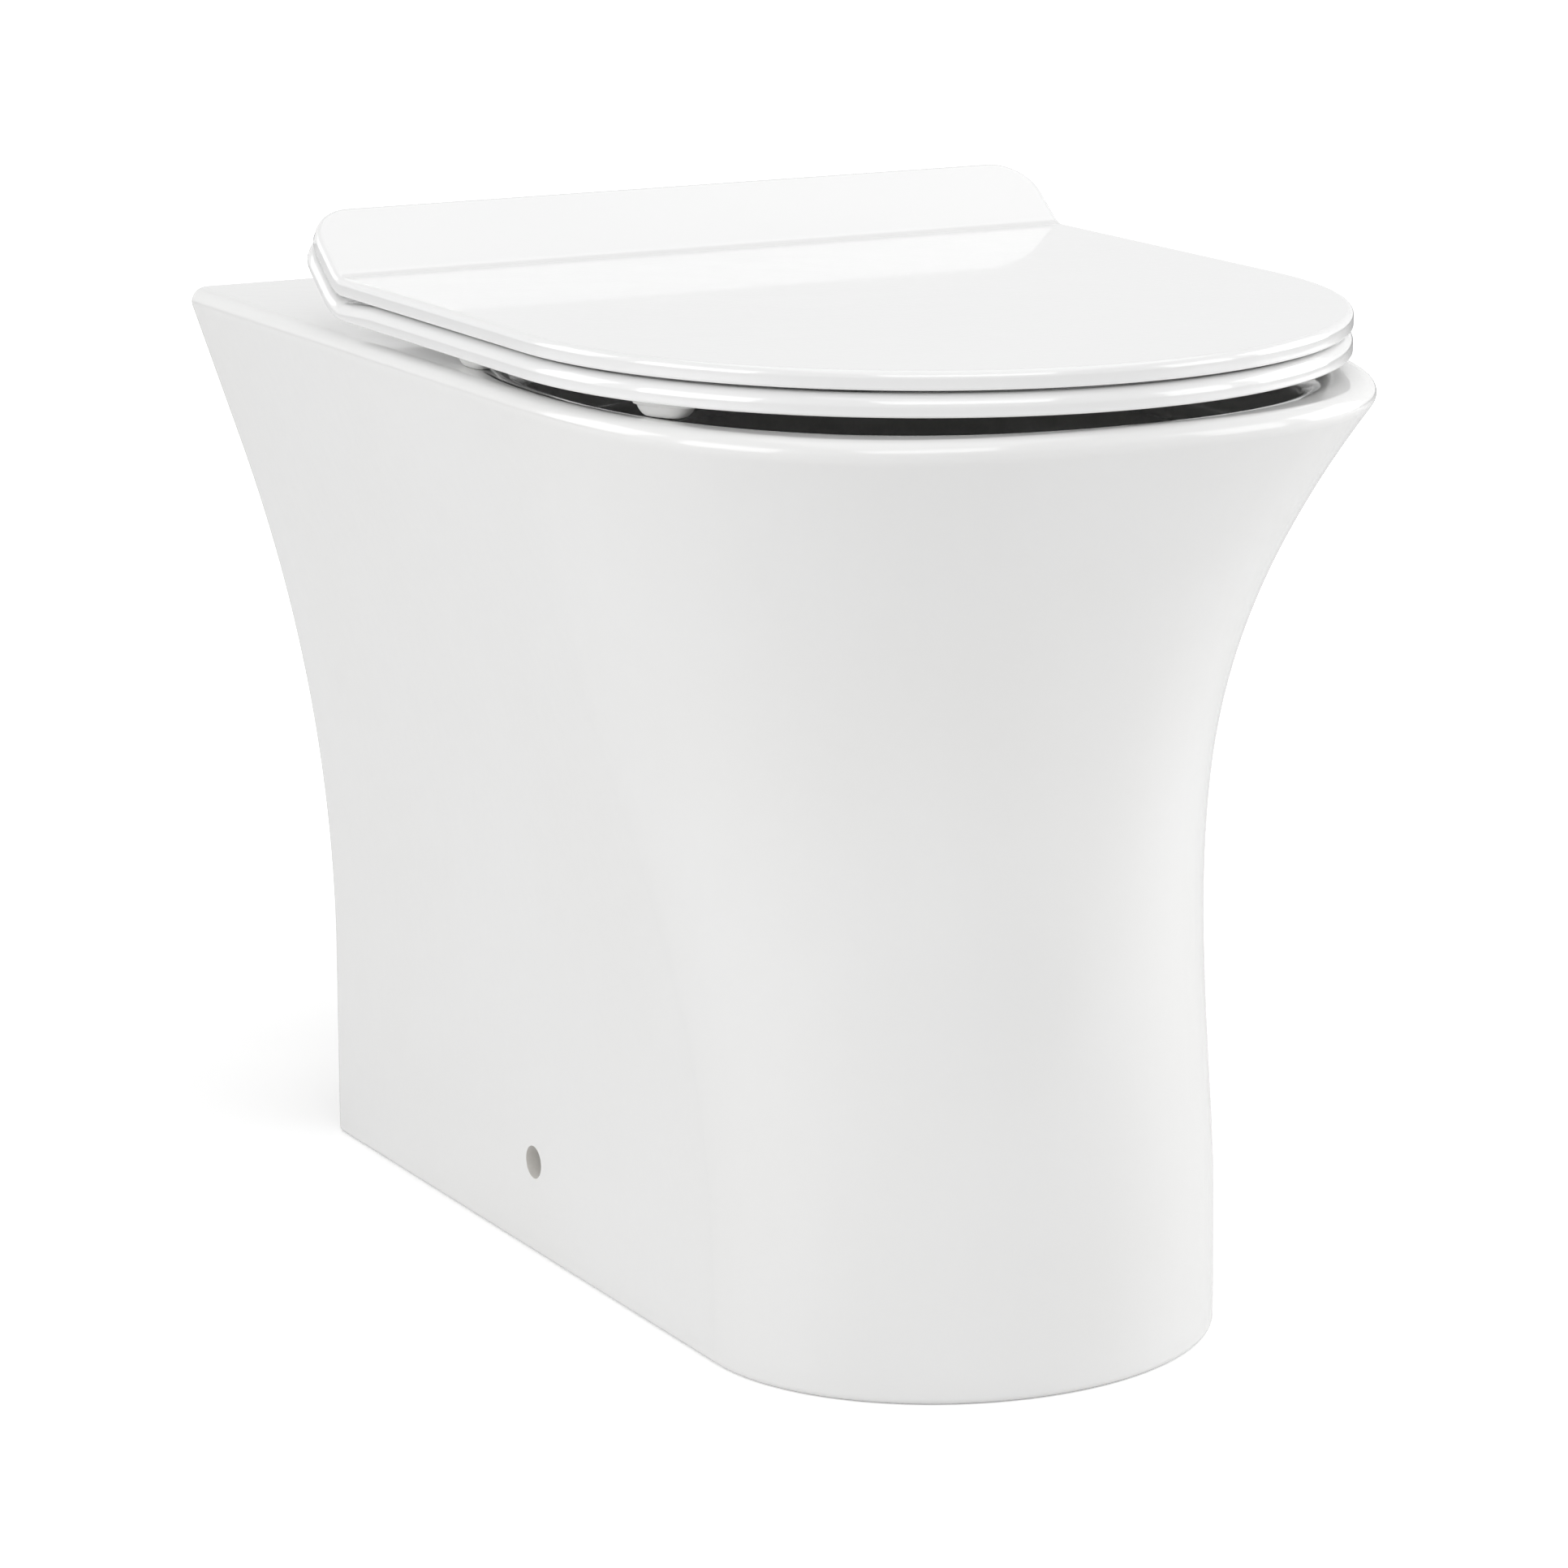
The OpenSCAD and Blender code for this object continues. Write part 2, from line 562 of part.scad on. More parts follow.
notch_gap = 1;               // space that the notch in the seat leaves round a hinge
module seat_ring() {
    knuckle_end = post_in - side_gap;
    notch_in = knuckle_end - notch_gap;
    notch_out = lid_knuckle_out + side_gap;
    notch_front = foot_front_back + notch_gap;
    color(plastic) from_wall() difference() {
        union() {
            difference() {
                seat_plate(ring_t, stack_t);
                for (side = [0, 1]) mirror([side, 0, 0])
                    translate([notch_in, -notch_front, pan_h])
                        cube([notch_out - notch_in, notch_front, 2 * axis_up]);
            }
            for (side = [0, 1]) mirror([side, 0, 0])
                knuckle(seat_knuckle_in, knuckle_end, axis_drop - stack_t - lug_lap);
        }
        translate([0, 0, ring_low - cut]) linear_extrude(ring_t + 2 * cut) seat_hole_2d();
        hole_rounding();
        for (side = [0, 1]) mirror([side, 0, 0])
            hinge_x(seat_knuckle_in - cut, knuckle_end + cut, damper_d / 2 + turn_gap);
    }
}

module lid() {
    knuckle_in = post_out + side_gap;
    color(plastic) from_wall() difference() {
        union() {
            difference() {
                seat_plate(lid_t, 0);
                lid_dish();
            }
            for (side = [0, 1]) mirror([side, 0, 0])
                knuckle(knuckle_in, lid_knuckle_out, axis_drop - lid_t + lug_lap);
        }
        for (side = [0, 1]) mirror([side, 0, 0])
            hinge_x(knuckle_in - cut, lid_knuckle_out + cut, damper_d / 2 + turn_gap);
    }
}
// The shallow dished underside, inside a border of full thickness
module lid_dish() {
    dish_r = seat_r - dish_border;
    dish_back = kick_back + dish_border;
    translate([0, 0, lid_low - cut]) linear_extrude(dish_d + cut) {
        translate([0, -nose_c]) circle(dish_r, $fn = 96);
        translate([-dish_r, -nose_c]) square([2 * dish_r, nose_c - dish_back]);
    }
}

// Buffers. The seat's stand on the rim and are wedge shaped: long at the seat, short at the rim.
buffer_len = 28;
buffer_foot = 16;
buffer_w = 12;
front_buffer = [seat_r - 28.5, nose_c + 67.5, 62];     // across, distance from the wall, turn in plan
back_buffer = [seat_r - 17.5, 262, 90];
module seat_buffer() {
    slope = (buffer_len - buffer_foot) / 2;
    translate([0, buffer_w / 2, 0]) rotate([90, 0, 0]) linear_extrude(buffer_w)
        polygon([[-buffer_foot / 2, 0], [buffer_foot / 2, 0],
                 [buffer_foot / 2 + slope, buffer_h], [-buffer_foot / 2 - slope, buffer_h]]);
}
module seat_buffers() {
    color(rubber) from_wall()
        for (side = [0, 1]) mirror([side, 0, 0]) for (place = [front_buffer, back_buffer])
            translate([place[0], -place[1], pan_h]) rotate([0, 0, place[2]]) seat_buffer();
}
lid_buffer_d = 12;
lid_buffer_r = (hole_r + seat_r) / 2;
lid_buffer_turn = [48, 4];         // degrees in front of straight across
module lid_buffers() {
    color(rubber) from_wall()
        for (side = [0, 1]) mirror([side, 0, 0]) for (turn = lid_buffer_turn)
            translate([lid_buffer_r * cos(turn), -nose_c - lid_buffer_r * sin(turn), ring_low + ring_t])
                cylinder(d = lid_buffer_d, h = lid_gap + dish_d);
}

// Hinges, made on the right and mirrored for the left
sink_d = 2 * screw_d;        // diameter of the countersunk screw head
head_gap = 0.1;              // gap between the screw head and its countersink
gasket_inset = 1;            // how far a gasket stays inside its base plate
module on_side(side) {
    from_wall() mirror([side == "left" ? 1 : 0, 0, 0]) translate([hinge_c / 2, 0, 0]) children();
}
module screw_head(grow) {
    translate([0, 0, -sink_d / 4]) cylinder(r1 = screw_d / 2 + grow, r2 = sink_d / 2 + grow, h = sink_d / 4);
}
module hinge_base(side) {
    color(steel) on_side(side) translate([0, -fixing_back, base_z]) difference() {
        cylinder(d = base_d, h = base_t);
        translate([0, 0, -cut]) cylinder(r = screw_d / 2 + screw_gap, h = base_t + 2 * cut);
        translate([0, 0, base_t]) screw_head(head_gap);
    }
}
module base_gaskets() {
    color(rubber) for (side = ["left", "right"]) on_side(side)
        translate([0, -fixing_back, pan_h]) difference() {
            cylinder(d = base_d - 2 * gasket_inset, h = gasket_t);
            translate([0, 0, -cut]) cylinder(r = screw_d / 2 + screw_gap, h = gasket_t + 2 * cut);
        }
}
button_w = 9;                // length of a button inside its pocket
button_h = 4;
button_proud = 3;            // how far the button stands out of the foot
pocket_floor = 1.2;
pocket_wall = 2.5;           // metal in front of and behind the pocket
pocket_depth = foot_front_back - stem_back - 2 * pocket_wall;
module hinge_post(side) {
    color(chrome) on_side(side) difference() {
        union() {
            translate([-hinge_foot_w / 2, -foot_front_back, foot_z])
                cube([hinge_foot_w, foot_front_back - stem_back, foot_h]);
            translate([-post_w / 2, -stem_back - stem_t, foot_z]) cube([post_w, stem_t, axis_z - foot_z]);
            translate([-hinge_c / 2, 0, 0]) hinge_x(post_in, post_out, barrel_r);
        }
        translate([-hinge_c / 2, 0, 0]) hinge_x(post_in - cut, post_out + cut, pin_d / 2 + turn_gap);
        translate([hinge_foot_w / 2 - button_w - button_travel, -foot_front_back + pocket_wall,
                   foot_z + pocket_floor - slide_gap])
            cube([button_w + button_travel + cut, pocket_depth, button_h + 2 * slide_gap]);
    }
}
module release_button(side) {
    color(plastic) on_side(side)
        translate([hinge_foot_w / 2 - button_w, -foot_front_back + pocket_wall + slide_gap,
                   foot_z + pocket_floor])
            cube([button_w + button_proud, pocket_depth - 2 * slide_gap, button_h]);
}

// Stepped rods: a body in a knuckle and a journal in the post
module hinge_rod(body_from, body_to, tip, body_r) {
    hinge_x(min(body_from, tip), max(body_from, tip), pin_d / 2);
    hinge_x(min(body_from, body_to), max(body_from, body_to), body_r);
}
rod_tip_gap = 0.25;
module lid_damper() {
    color(steel) from_wall() mirror([1, 0, 0])
        hinge_rod(post_out + side_gap / 2, lid_knuckle_out, hinge_c / 2 + rod_tip_gap, damper_d / 2);
}
module seat_damper() {
    color(steel) from_wall()
        hinge_rod(post_in - side_gap / 2, seat_knuckle_in, hinge_c / 2 - rod_tip_gap, damper_d / 2);
}
module lid_pivot_pin() {
    color(steel) from_wall()
        hinge_rod(post_out, lid_knuckle_out, hinge_c / 2 + rod_tip_gap, pin_d / 2);
}
module seat_pivot_pin() {
    color(steel) from_wall() mirror([1, 0, 0])
        hinge_rod(post_in, seat_knuckle_in, hinge_c / 2 - rod_tip_gap, pin_d / 2);
}
module bush(from, to) {
    difference() {
        hinge_x(from, to, damper_d / 2);
        hinge_x(from - cut, to + cut, pin_d / 2 + turn_gap);
    }
}
module lid_bush() {
    color(plastic) from_wall() bush(post_out + side_gap, lid_knuckle_out);
}
module seat_bush() {
    color(plastic) from_wall() mirror([1, 0, 0]) bush(seat_knuckle_in, post_in - side_gap);
}

// Fixings that hold the hinges down from above
sleeve_len = deck_t + 8;
nut_h = 5;
nut_d = 11.5;                // over the corners
screw_tail = 3;              // how far a screw runs past its nut
head_lap = 1;                // how far the shank runs up into the head
module fixing_screws() {
    reach = base_t + gasket_t + sleeve_len + nut_h + screw_tail;
    color(steel) for (side = ["left", "right"]) on_side(side) translate([0, -fixing_back, foot_z]) {
        screw_head(0);
        translate([0, 0, -reach]) cylinder(d = screw_d, h = reach - head_lap);
    }
}
module fixing_sleeves() {
    color(rubber) for (side = ["left", "right"]) on_side(side)
        translate([0, -fixing_back, pan_h - sleeve_len]) difference() {
            cylinder(r = fixing_d / 2 - sleeve_gap, h = sleeve_len);
            translate([0, 0, -cut]) cylinder(r = screw_d / 2 + sleeve_gap, h = sleeve_len + 2 * cut);
        }
}
module fixing_nuts() {
    color(steel) for (side = ["left", "right"]) on_side(side)
        translate([0, -fixing_back, pan_h - sleeve_len - nut_h]) difference() {
            cylinder(d = nut_d, h = nut_h, $fn = 6);
            translate([0, 0, -cut]) cylinder(r = screw_d / 2 + thread_gap, h = nut_h + 2 * cut);
        }
}

// Floor brackets inside the skirt, behind the side holes
gusset_in = 4;               // how far a gusset stays back from the end of the foot
gusset_drop = 8;             // how far a gusset stays below the top of the bracket
module floor_bracket(side) {
    outer = foot_w / 2 - skirt_t - bracket_gap;
    floor_hole_in = (bracket_foot + bracket_t) / 2;
    color(steel) from_wall() mirror([side == "left" ? 1 : 0, 0, 0])
        translate([outer, -side_hole_back, 0]) difference() {
            union() {
                translate([-bracket_t, -bracket_w / 2, 0]) cube([bracket_t, bracket_w, bracket_h]);
                translate([-bracket_foot, -bracket_w / 2, 0]) cube([bracket_foot, bracket_w, bracket_t]);
                for (end = [-bracket_w / 2 + bracket_t, bracket_w / 2])
                    translate([0, end, 0]) rotate([90, 0, 0]) linear_extrude(bracket_t)
                        polygon([[-bracket_foot + gusset_in, 0], [0, 0],
                                 [0, bracket_h - gusset_drop], [-bracket_t, bracket_h - gusset_drop]]);
            }
            translate([cut, 0, side_hole_h]) rotate([0, -90, 0])
                cylinder(d = tapped_hole_d, h = bracket_t + 2 * cut);
            translate([-floor_hole_in, 0, -cut]) cylinder(d = floor_hole_d, h = bracket_t + 2 * cut);
        }
}

pan();
pan_foot();
inlet_horn();
seat_ring();
lid();
seat_buffers();
lid_buffers();
hinge_base("left");  // hinge_base_left
hinge_base("right");  // hinge_base_right
hinge_post("left");  // hinge_post_left
hinge_post("right");  // hinge_post_right
release_button("left");  // release_button_left
release_button("right");  // release_button_right
lid_damper();
seat_damper();
lid_pivot_pin();
seat_pivot_pin();
lid_bush();
seat_bush();
fixing_screws();
fixing_sleeves();
fixing_nuts();
base_gaskets();
floor_bracket("left");  // floor_bracket_left
floor_bracket("right");  // floor_bracket_right
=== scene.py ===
"""A floor standing back to wall toilet with a slim soft close seat and lid, dressed for a pale studio.

Lengths are in metres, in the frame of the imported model: +X is right as seen from the front, +Y points at the
wall and +Z is up, with the origin on the floor in the middle of the footprint. Places along Y are written as
distances in front of the wall.
"""

import logging
import math
from dataclasses import dataclass
from enum import Enum
from typing import Optional, Sequence, Union

import bmesh
import bpy
from mathutils import Matrix, Vector


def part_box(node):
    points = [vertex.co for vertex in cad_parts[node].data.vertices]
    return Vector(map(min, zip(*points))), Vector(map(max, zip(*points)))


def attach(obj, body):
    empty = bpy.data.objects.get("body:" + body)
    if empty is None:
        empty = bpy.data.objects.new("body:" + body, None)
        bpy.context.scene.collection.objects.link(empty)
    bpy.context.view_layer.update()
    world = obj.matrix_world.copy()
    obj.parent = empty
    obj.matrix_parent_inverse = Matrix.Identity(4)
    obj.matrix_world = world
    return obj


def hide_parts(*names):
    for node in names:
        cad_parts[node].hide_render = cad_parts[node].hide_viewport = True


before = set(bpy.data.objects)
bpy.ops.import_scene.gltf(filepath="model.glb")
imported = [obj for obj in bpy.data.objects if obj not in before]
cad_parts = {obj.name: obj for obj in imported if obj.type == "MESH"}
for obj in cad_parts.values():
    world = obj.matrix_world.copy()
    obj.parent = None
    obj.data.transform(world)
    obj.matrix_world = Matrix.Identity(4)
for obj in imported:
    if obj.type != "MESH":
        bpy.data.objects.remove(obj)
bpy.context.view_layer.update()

LOG = logging.getLogger("toilet")
Number = Union[float, "Socket"]
Colour = tuple[float, float, float]
Loop = list[Vector]
Pairs = list[tuple[float, float]]
Profile = Sequence[tuple[float, float]]
Counts = tuple[int, int, int, int]
Mesh = bmesh.types.BMesh

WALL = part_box("pan")[1].y
RIM = 0.4
FIXING_BACK = 0.142
SIDE_HOLE_BACK = 0.207
SIDE_HOLE_HEIGHT = 0.0415
PAST = 0.001
MERGE = 1e-6
SHARP_ANGLE = math.radians(32)
BORE_START = math.radians(4)


class Side(Enum):
    """The two sides of the pan, with the sign of their X."""

    LEFT = -1
    RIGHT = 1

    @property
    def word(self) -> str:
        """The side's name as the nodes spell it."""
        return self.name.lower()


class Cut(Enum):
    """How one solid acts on another."""

    ADD = "UNION"
    TAKE = "DIFFERENCE"
    SHARE = "INTERSECT"


def at(x: float, back: float, z: float) -> Vector:
    """The point at x and z that lies back in front of the wall."""
    return Vector((x, WALL - back, z))


class Socket:
    """An output in a shader's node tree that takes part in Python expressions."""

    def __init__(self, shader: "Shader", source: bpy.types.NodeSocket) -> None:
        """Keeps the shader and the node's output socket."""
        self.shader = shader
        self.source = source

    def _math(self, operation: str, first: Number, second: Number = 0.0) -> "Socket":
        """One Math node.

        Args:
            operation: The node's operation.
            first: Its first value.
            second: Its second value.

        Returns:
            The node's output.
        """
        return self.shader.add("Math", {"operation": operation}, {0: first, 1: second})

    def __add__(self, other: Number) -> "Socket":
        """self + other."""
        return self._math("ADD", self, other)

    def __radd__(self, other: Number) -> "Socket":
        """other + self."""
        return self._math("ADD", other, self)

    def __sub__(self, other: Number) -> "Socket":
        """self - other."""
        return self._math("SUBTRACT", self, other)

    def __rsub__(self, other: Number) -> "Socket":
        """other - self."""
        return self._math("SUBTRACT", other, self)

    def __mul__(self, other: Number) -> "Socket":
        """self * other."""
        return self._math("MULTIPLY", self, other)

    def __truediv__(self, other: Number) -> "Socket":
        """self / other."""
        return self._math("DIVIDE", self, other)

    def most(self, other: Number) -> "Socket":
        """The larger of self and other."""
        return self._math("MAXIMUM", self, other)

    def ramp(self, low: float, high: float) -> "Socket":
        """Self mapped smoothly so that low gives 0 and high gives 1, and clamped.

        Args:
            low: The value that gives 0.
            high: The value that gives 1.

        Returns:
            The mapped value.
        """
        settings = {"interpolation_type": "SMOOTHSTEP", "clamp": True}
        if low <= high:
            return self.shader.add("MapRange", settings, {0: self, 1: low, 2: high})
        return self.shader.add("MapRange", settings, {0: self, 1: high, 2: low, 3: 1.0, 4: 0.0})


class Shader:
    """The node tree of one material or world, with one method that adds every node."""

    def __init__(self, owner: Union[bpy.types.Material, bpy.types.World]) -> None:
        """Empties the owner's node tree.

        Args:
            owner: The material or world, whose nodes are built anew.
        """
        owner.use_nodes = True
        self.tree = owner.node_tree
        self.tree.nodes.clear()

    def add(
        self,
        kind: str,
        settings: Optional[dict] = None,
        values: Optional[dict] = None,
        output: Union[int, str] = 0,
    ) -> Socket:
        """Adds a node.

        Args:
            kind: The node's type without its leading ShaderNode.
            settings: Properties that are set first.
            values: Values or sockets for the inputs, by their index or name.
            output: The output that is wanted.

        Returns:
            That output.
        """
        node = self.tree.nodes.new("ShaderNode" + kind)
        for name, value in (settings or {}).items():
            setattr(node, name, value)
        for key, value in (values or {}).items():
            socket = node.inputs[key]
            if isinstance(value, Socket):
                self.tree.links.new(value.source, socket)
            elif isinstance(value, tuple) and len(value) == 3 and len(socket.default_value) == 4:
                socket.default_value = (*value, 1.0)
            else:
                socket.default_value = value
        return Socket(self, node.outputs[output] if node.outputs else None)

    def place(self) -> Socket:
        """The Object coordinates, which are places in the frame."""
        return self.add("TexCoord", output="Object")

    def noise(self, scale: float, detail: float = 2.0, stretch: Sequence[float] = (1, 1, 1)) -> Socket:
        """A cloudy value about 0.5.

        Args:
            scale: Clouds per metre.
            detail: How many finer layers it has.
            stretch: How much finer it is along each axis.

        Returns:
            The noise's value.
        """
        spot = self.add("Mapping", values={0: self.place(), "Scale": tuple(stretch)})
        return self.add("TexNoise", values={"Vector": spot, "Scale": scale, "Detail": detail})

    def mix(self, share: Number, first: Union[Colour, Socket], second: Union[Colour, Socket]) -> Socket:
        """A colour between two others.

        Args:
            share: 0 for the first colour and 1 for the second.
            first: The first colour.
            second: The second colour.

        Returns:
            The mixed colour.
        """
        return self.add("Mix", {"data_type": "RGBA"}, {0: share, 6: first, 7: second}, output=2)

    def bump(self, depth: float, height: Socket) -> Socket:
        """A normal from a height of 0 to 1.

        Args:
            depth: The relief in metres that a height of 1 stands for.
            height: The height.

        Returns:
            The bumped normal.
        """
        return self.add("Bump", values={"Strength": 1.0, "Distance": depth, "Height": height})

    def surface(self, **values: Union[Number, Colour]) -> None:
        """Ends the tree in a Principled shader.

        Args:
            values: Its inputs, with underscores for spaces in their names.
        """
        named = {key.replace("_", " "): value for key, value in values.items()}
        principled = self.add("BsdfPrincipled", values=named)
        self.add("OutputMaterial", values={0: principled})


@dataclass(frozen=True)
class Finish:
    """A finish that a piece is made in.

    Attributes:
        name: The material's name.
        slot: The record's material slot, which is not used.
        colour: The main colour.
        second: The colour that it drifts to in places.
        roughness: The mean roughness.
    """

    name: str
    slot: str
    colour: Colour
    second: Colour
    roughness: float

    def dress(self, shader: Shader) -> None:
        """Builds the nodes of the finish in shader."""
        raise NotImplementedError

    def material(self) -> bpy.types.Material:
        """The finish's material, made once."""
        made = bpy.data.materials.get(self.name)
        if made is None:
            made = bpy.data.materials.new(self.name)
            self.dress(Shader(made))
        return made


@dataclass(frozen=True)
class Glaze(Finish):
    """White glaze fired on china: hard gloss over a soft ripple, a little warmer where it runs thick."""

    ripple: float = 0.00005
    sag: float = 0.0004

    def dress(self, shader: Shader) -> None:
        """Builds the nodes of the glaze.

        Args:
            shader: What builds them in the material's node tree.
        """
        drift = shader.noise(7.0, 3.0).ramp(0.35, 0.68)
        specks = shader.add("TexVoronoi", values={"Vector": shader.place(), "Scale": 260.0})
        pin = specks.ramp(0.07, 0.03) * shader.noise(31.0).ramp(0.58, 0.7)
        clean = shader.mix(drift, self.colour, self.second)
        colour = shader.mix(pin * 0.06, clean, (0.62, 0.58, 0.52))
        sheen = self.roughness + (shader.noise(26.0, 4.0) - 0.5) * 0.05
        relief = shader.noise(120.0, 2.0) * self.ripple / self.sag + shader.noise(14.0, 1.0)
        shader.surface(
            Base_Color=colour,
            Roughness=sheen,
            Normal=shader.bump(self.sag, relief),
            IOR=1.5,
            Coat_Weight=0.5,
            Coat_Roughness=0.04,
        )


@dataclass(frozen=True)
class Biscuit(Finish):
    """Fired clay without glaze, as inside the skirt and under the foot."""

    grain: float = 0.00012

    def dress(self, shader: Shader) -> None:
        """Builds the nodes of the bare clay.

        Args:
            shader: What builds them in the material's node tree.
        """
        spray = shader.noise(16.0, 4.0).ramp(0.42, 0.66)
        grit = shader.noise(900.0, 3.0)
        colour = shader.mix(spray * 0.8 + grit * 0.12, self.colour, self.second)
        shader.surface(
            Base_Color=colour,
            Roughness=self.roughness - spray * 0.2,
            Normal=shader.bump(self.grain, grit + shader.noise(90.0, 2.0) * 2.0),
        )


@dataclass(frozen=True)
class Moulded(Finish):
    """Moulded plastic or rubber, with a fine skin, faint rubbing and a sheen that varies.

    Attributes:
        skin: Depth of the moulded skin's grain.
        rub: How much the sheen varies.
        coat: Weight of the clear gloss on top.
        scatter: How much light travels under the surface.
    """

    skin: float = 0.00002
    rub: float = 0.08
    coat: float = 0.0
    scatter: float = 0.0

    def dress(self, shader: Shader) -> None:
        """Builds the nodes of the plastic.

        Args:
            shader: What builds them in the material's node tree.
        """
        drift = shader.noise(9.0, 2.0).ramp(0.3, 0.7)
        wiped = shader.noise(22.0, 3.0).ramp(0.4, 0.75)
        grain = shader.noise(420.0, 2.0)
        shader.surface(
            Base_Color=shader.mix(drift, self.colour, self.second),
            Roughness=self.roughness + (wiped - 0.3) * self.rub,
            Normal=shader.bump(self.skin, grain + shader.noise(30.0, 1.0) * 4.0),
            IOR=1.5,
            Coat_Weight=self.coat,
            Coat_Roughness=0.03,
            Subsurface_Weight=self.scatter,
            Subsurface_Radius=(0.004, 0.004, 0.0038),
            Subsurface_Scale=1.0,
        )


@dataclass(frozen=True)
class Metal(Finish):
    """Bare or plated metal.

    Attributes:
        brush: How much finer the brushing is along each axis.
        strokes: Brush strokes per metre.
        depth: Depth of the brushing.
        spangle: How strongly plating crystals show.
    """

    brush: tuple[float, float, float] = (1.0, 1.0, 1.0)
    strokes: float = 300.0
    depth: float = 0.00001
    spangle: float = 0.0

    def dress(self, shader: Shader) -> None:
        """Builds the nodes of the metal.

        Args:
            shader: What builds them in the material's node tree.
        """
        stroke = shader.noise(self.strokes, 3.0, self.brush)
        cells = shader.add("TexVoronoi", values={"Vector": shader.place(), "Scale": 140.0}, output="Color")
        crystal = shader.add("SeparateColor", values={0: cells}) * self.spangle
        stain = shader.noise(45.0, 4.0).ramp(0.45, 0.75)
        shader.surface(
            Base_Color=shader.mix(stain * 0.6 + crystal * 0.4, self.colour, self.second),
            Roughness=self.roughness + (stroke - 0.5) * 0.12 + crystal * 0.1 + stain * 0.05,
            Metallic=1.0,
            Normal=shader.bump(self.depth, stroke),
        )


GLAZE = Glaze("white_glaze", "china", (0.905, 0.905, 0.9), (0.895, 0.893, 0.885), 0.16)
BISCUIT = Biscuit("bare_china", "china", (0.80, 0.775, 0.735), (0.87, 0.86, 0.84), 0.82)
THERMOSET = Moulded(
    "white_thermoset", "seat_plastic", (0.92, 0.92, 0.918), (0.91, 0.911, 0.91), 0.13, rub=0.03, coat=1.0
)
SILICONE = Moulded(
    "soft_white_rubber", "buffer_rubber", (0.84, 0.84, 0.83), (0.8, 0.8, 0.79), 0.42, scatter=0.3
)
BLACK_RUBBER = Moulded(
    "black_rubber", "sleeve_rubber", (0.035, 0.035, 0.036), (0.05, 0.05, 0.05), 0.7, skin=0.00006
)
ACETAL = Moulded("white_bush_plastic", "bush_plastic", (0.82, 0.82, 0.8), (0.79, 0.79, 0.77), 0.38)
GREY_BUTTON = Moulded("grey_button_plastic", "button_plastic", (0.46, 0.47, 0.48), (0.42, 0.43, 0.44), 0.34)
DAMPER_GREY = Moulded("damper_plastic", "damper_body", (0.3, 0.31, 0.33), (0.26, 0.27, 0.29), 0.4)
CHROME = Metal("polished_chrome", "chrome", (0.86, 0.865, 0.875), (0.8, 0.805, 0.815), 0.1, depth=0.000002)
STAINLESS = Metal(
    "brushed_stainless", "stainless", (0.66, 0.655, 0.645), (0.58, 0.575, 0.565), 0.3, (1.0, 22.0, 22.0), 60.0
)
ZINC = Metal("zinc_plate", "bracket_steel", (0.6, 0.61, 0.62), (0.5, 0.51, 0.5), 0.36, spangle=0.6)


def shift(verts: Sequence[bmesh.types.BMVert], points: Sequence[Vector]) -> None:
    """Puts each vertex at its point."""
    for vert, point in zip(verts, points):
        vert.co = point


def loft(levels: Sequence[Sequence[Vector]], capped: bool = True) -> Mesh:
    """A skin through loops of equally many points.

    Args:
        levels: The loops, from one end to the other.
        capped: Whether a face spans each end. If not, the last loop joins the first where they meet.

    Returns:
        The skin.
    """
    bm = bmesh.new()
    verts = bmesh.ops.create_circle(bm, cap_ends=capped, segments=len(levels[0]), radius=1.0)["verts"]
    shift(verts, levels[0])
    for level in levels[1:]:
        edges = [bm.edges.get(pair) for pair in zip(verts, verts[1:] + verts[:1])]
        made = set(bmesh.ops.extrude_edge_only(bm, edges=edges)["geom"])
        verts = [
            next(edge.other_vert(vert) for edge in vert.link_edges if edge.other_vert(vert) in made)
            for vert in verts
        ]
        shift(verts, level)
    if capped:
        bm.faces.new(verts)
    else:
        bmesh.ops.remove_doubles(bm, verts=bm.verts[:], dist=MERGE)
    return bm


def in_scene(name: str, data: bpy.types.ID) -> bpy.types.Object:
    """A new object in the scene.

    Args:
        name: The name that it gets.
        data: What it shows.

    Returns:
        The object.
    """
    thing = bpy.data.objects.new(name, data)
    bpy.context.scene.collection.objects.link(thing)
    return thing


def mirrored(half: Sequence[Vector]) -> Loop:
    """A closed outline from its right half, which starts and ends in the middle."""
    return [*half, *(Vector((-p.x, p.y, p.z)) for p in reversed(half[1:-1]))]


def span(side: Side, first: float, last: float) -> list[float]:
    """Two distances from the middle as places along X on one side, the lower first."""
    return sorted((side.value * first, side.value * last))


def steps(count: int, low: float = 0.0, high: float = 1.0) -> list[float]:
    """Evenly spaced values from low to high, both included."""
    return [low + (high - low) * n / count for n in range(count + 1)]


def quarter(count: int, low: float = 0.0) -> list[float]:
    """Evenly spaced angles from low to a quarter turn, both included."""
    return steps(count, low, math.pi / 2)


def whole_turn(count: int) -> list[float]:
    """That many evenly spaced angles all the way round."""
    return steps(count, 0.0, math.tau)[:-1]


def rounding(count: int, along: float, across: Optional[float] = None) -> Pairs:
    """A rounded corner.

    Args:
        count: Its steps.
        along: Its size along the first direction.
        across: Its size along the second, if that differs.

    Returns:
        Pairs that go from nothing along and all across to all along and nothing across.
    """
    wide = along if across is None else across
    return [(along * (1 - math.cos(a)), wide * (1 - math.sin(a))) for a in quarter(count)]


def blend(first: Sequence[float], second: Sequence[float], share: float) -> list[float]:
    """Values that share of the way from first to second."""
    return [a + (b - a) * share for a, b in zip(first, second)]


def clamped(value: float) -> float:
    """The value, kept between 0 and 1."""
    return min(1.0, max(0.0, value))


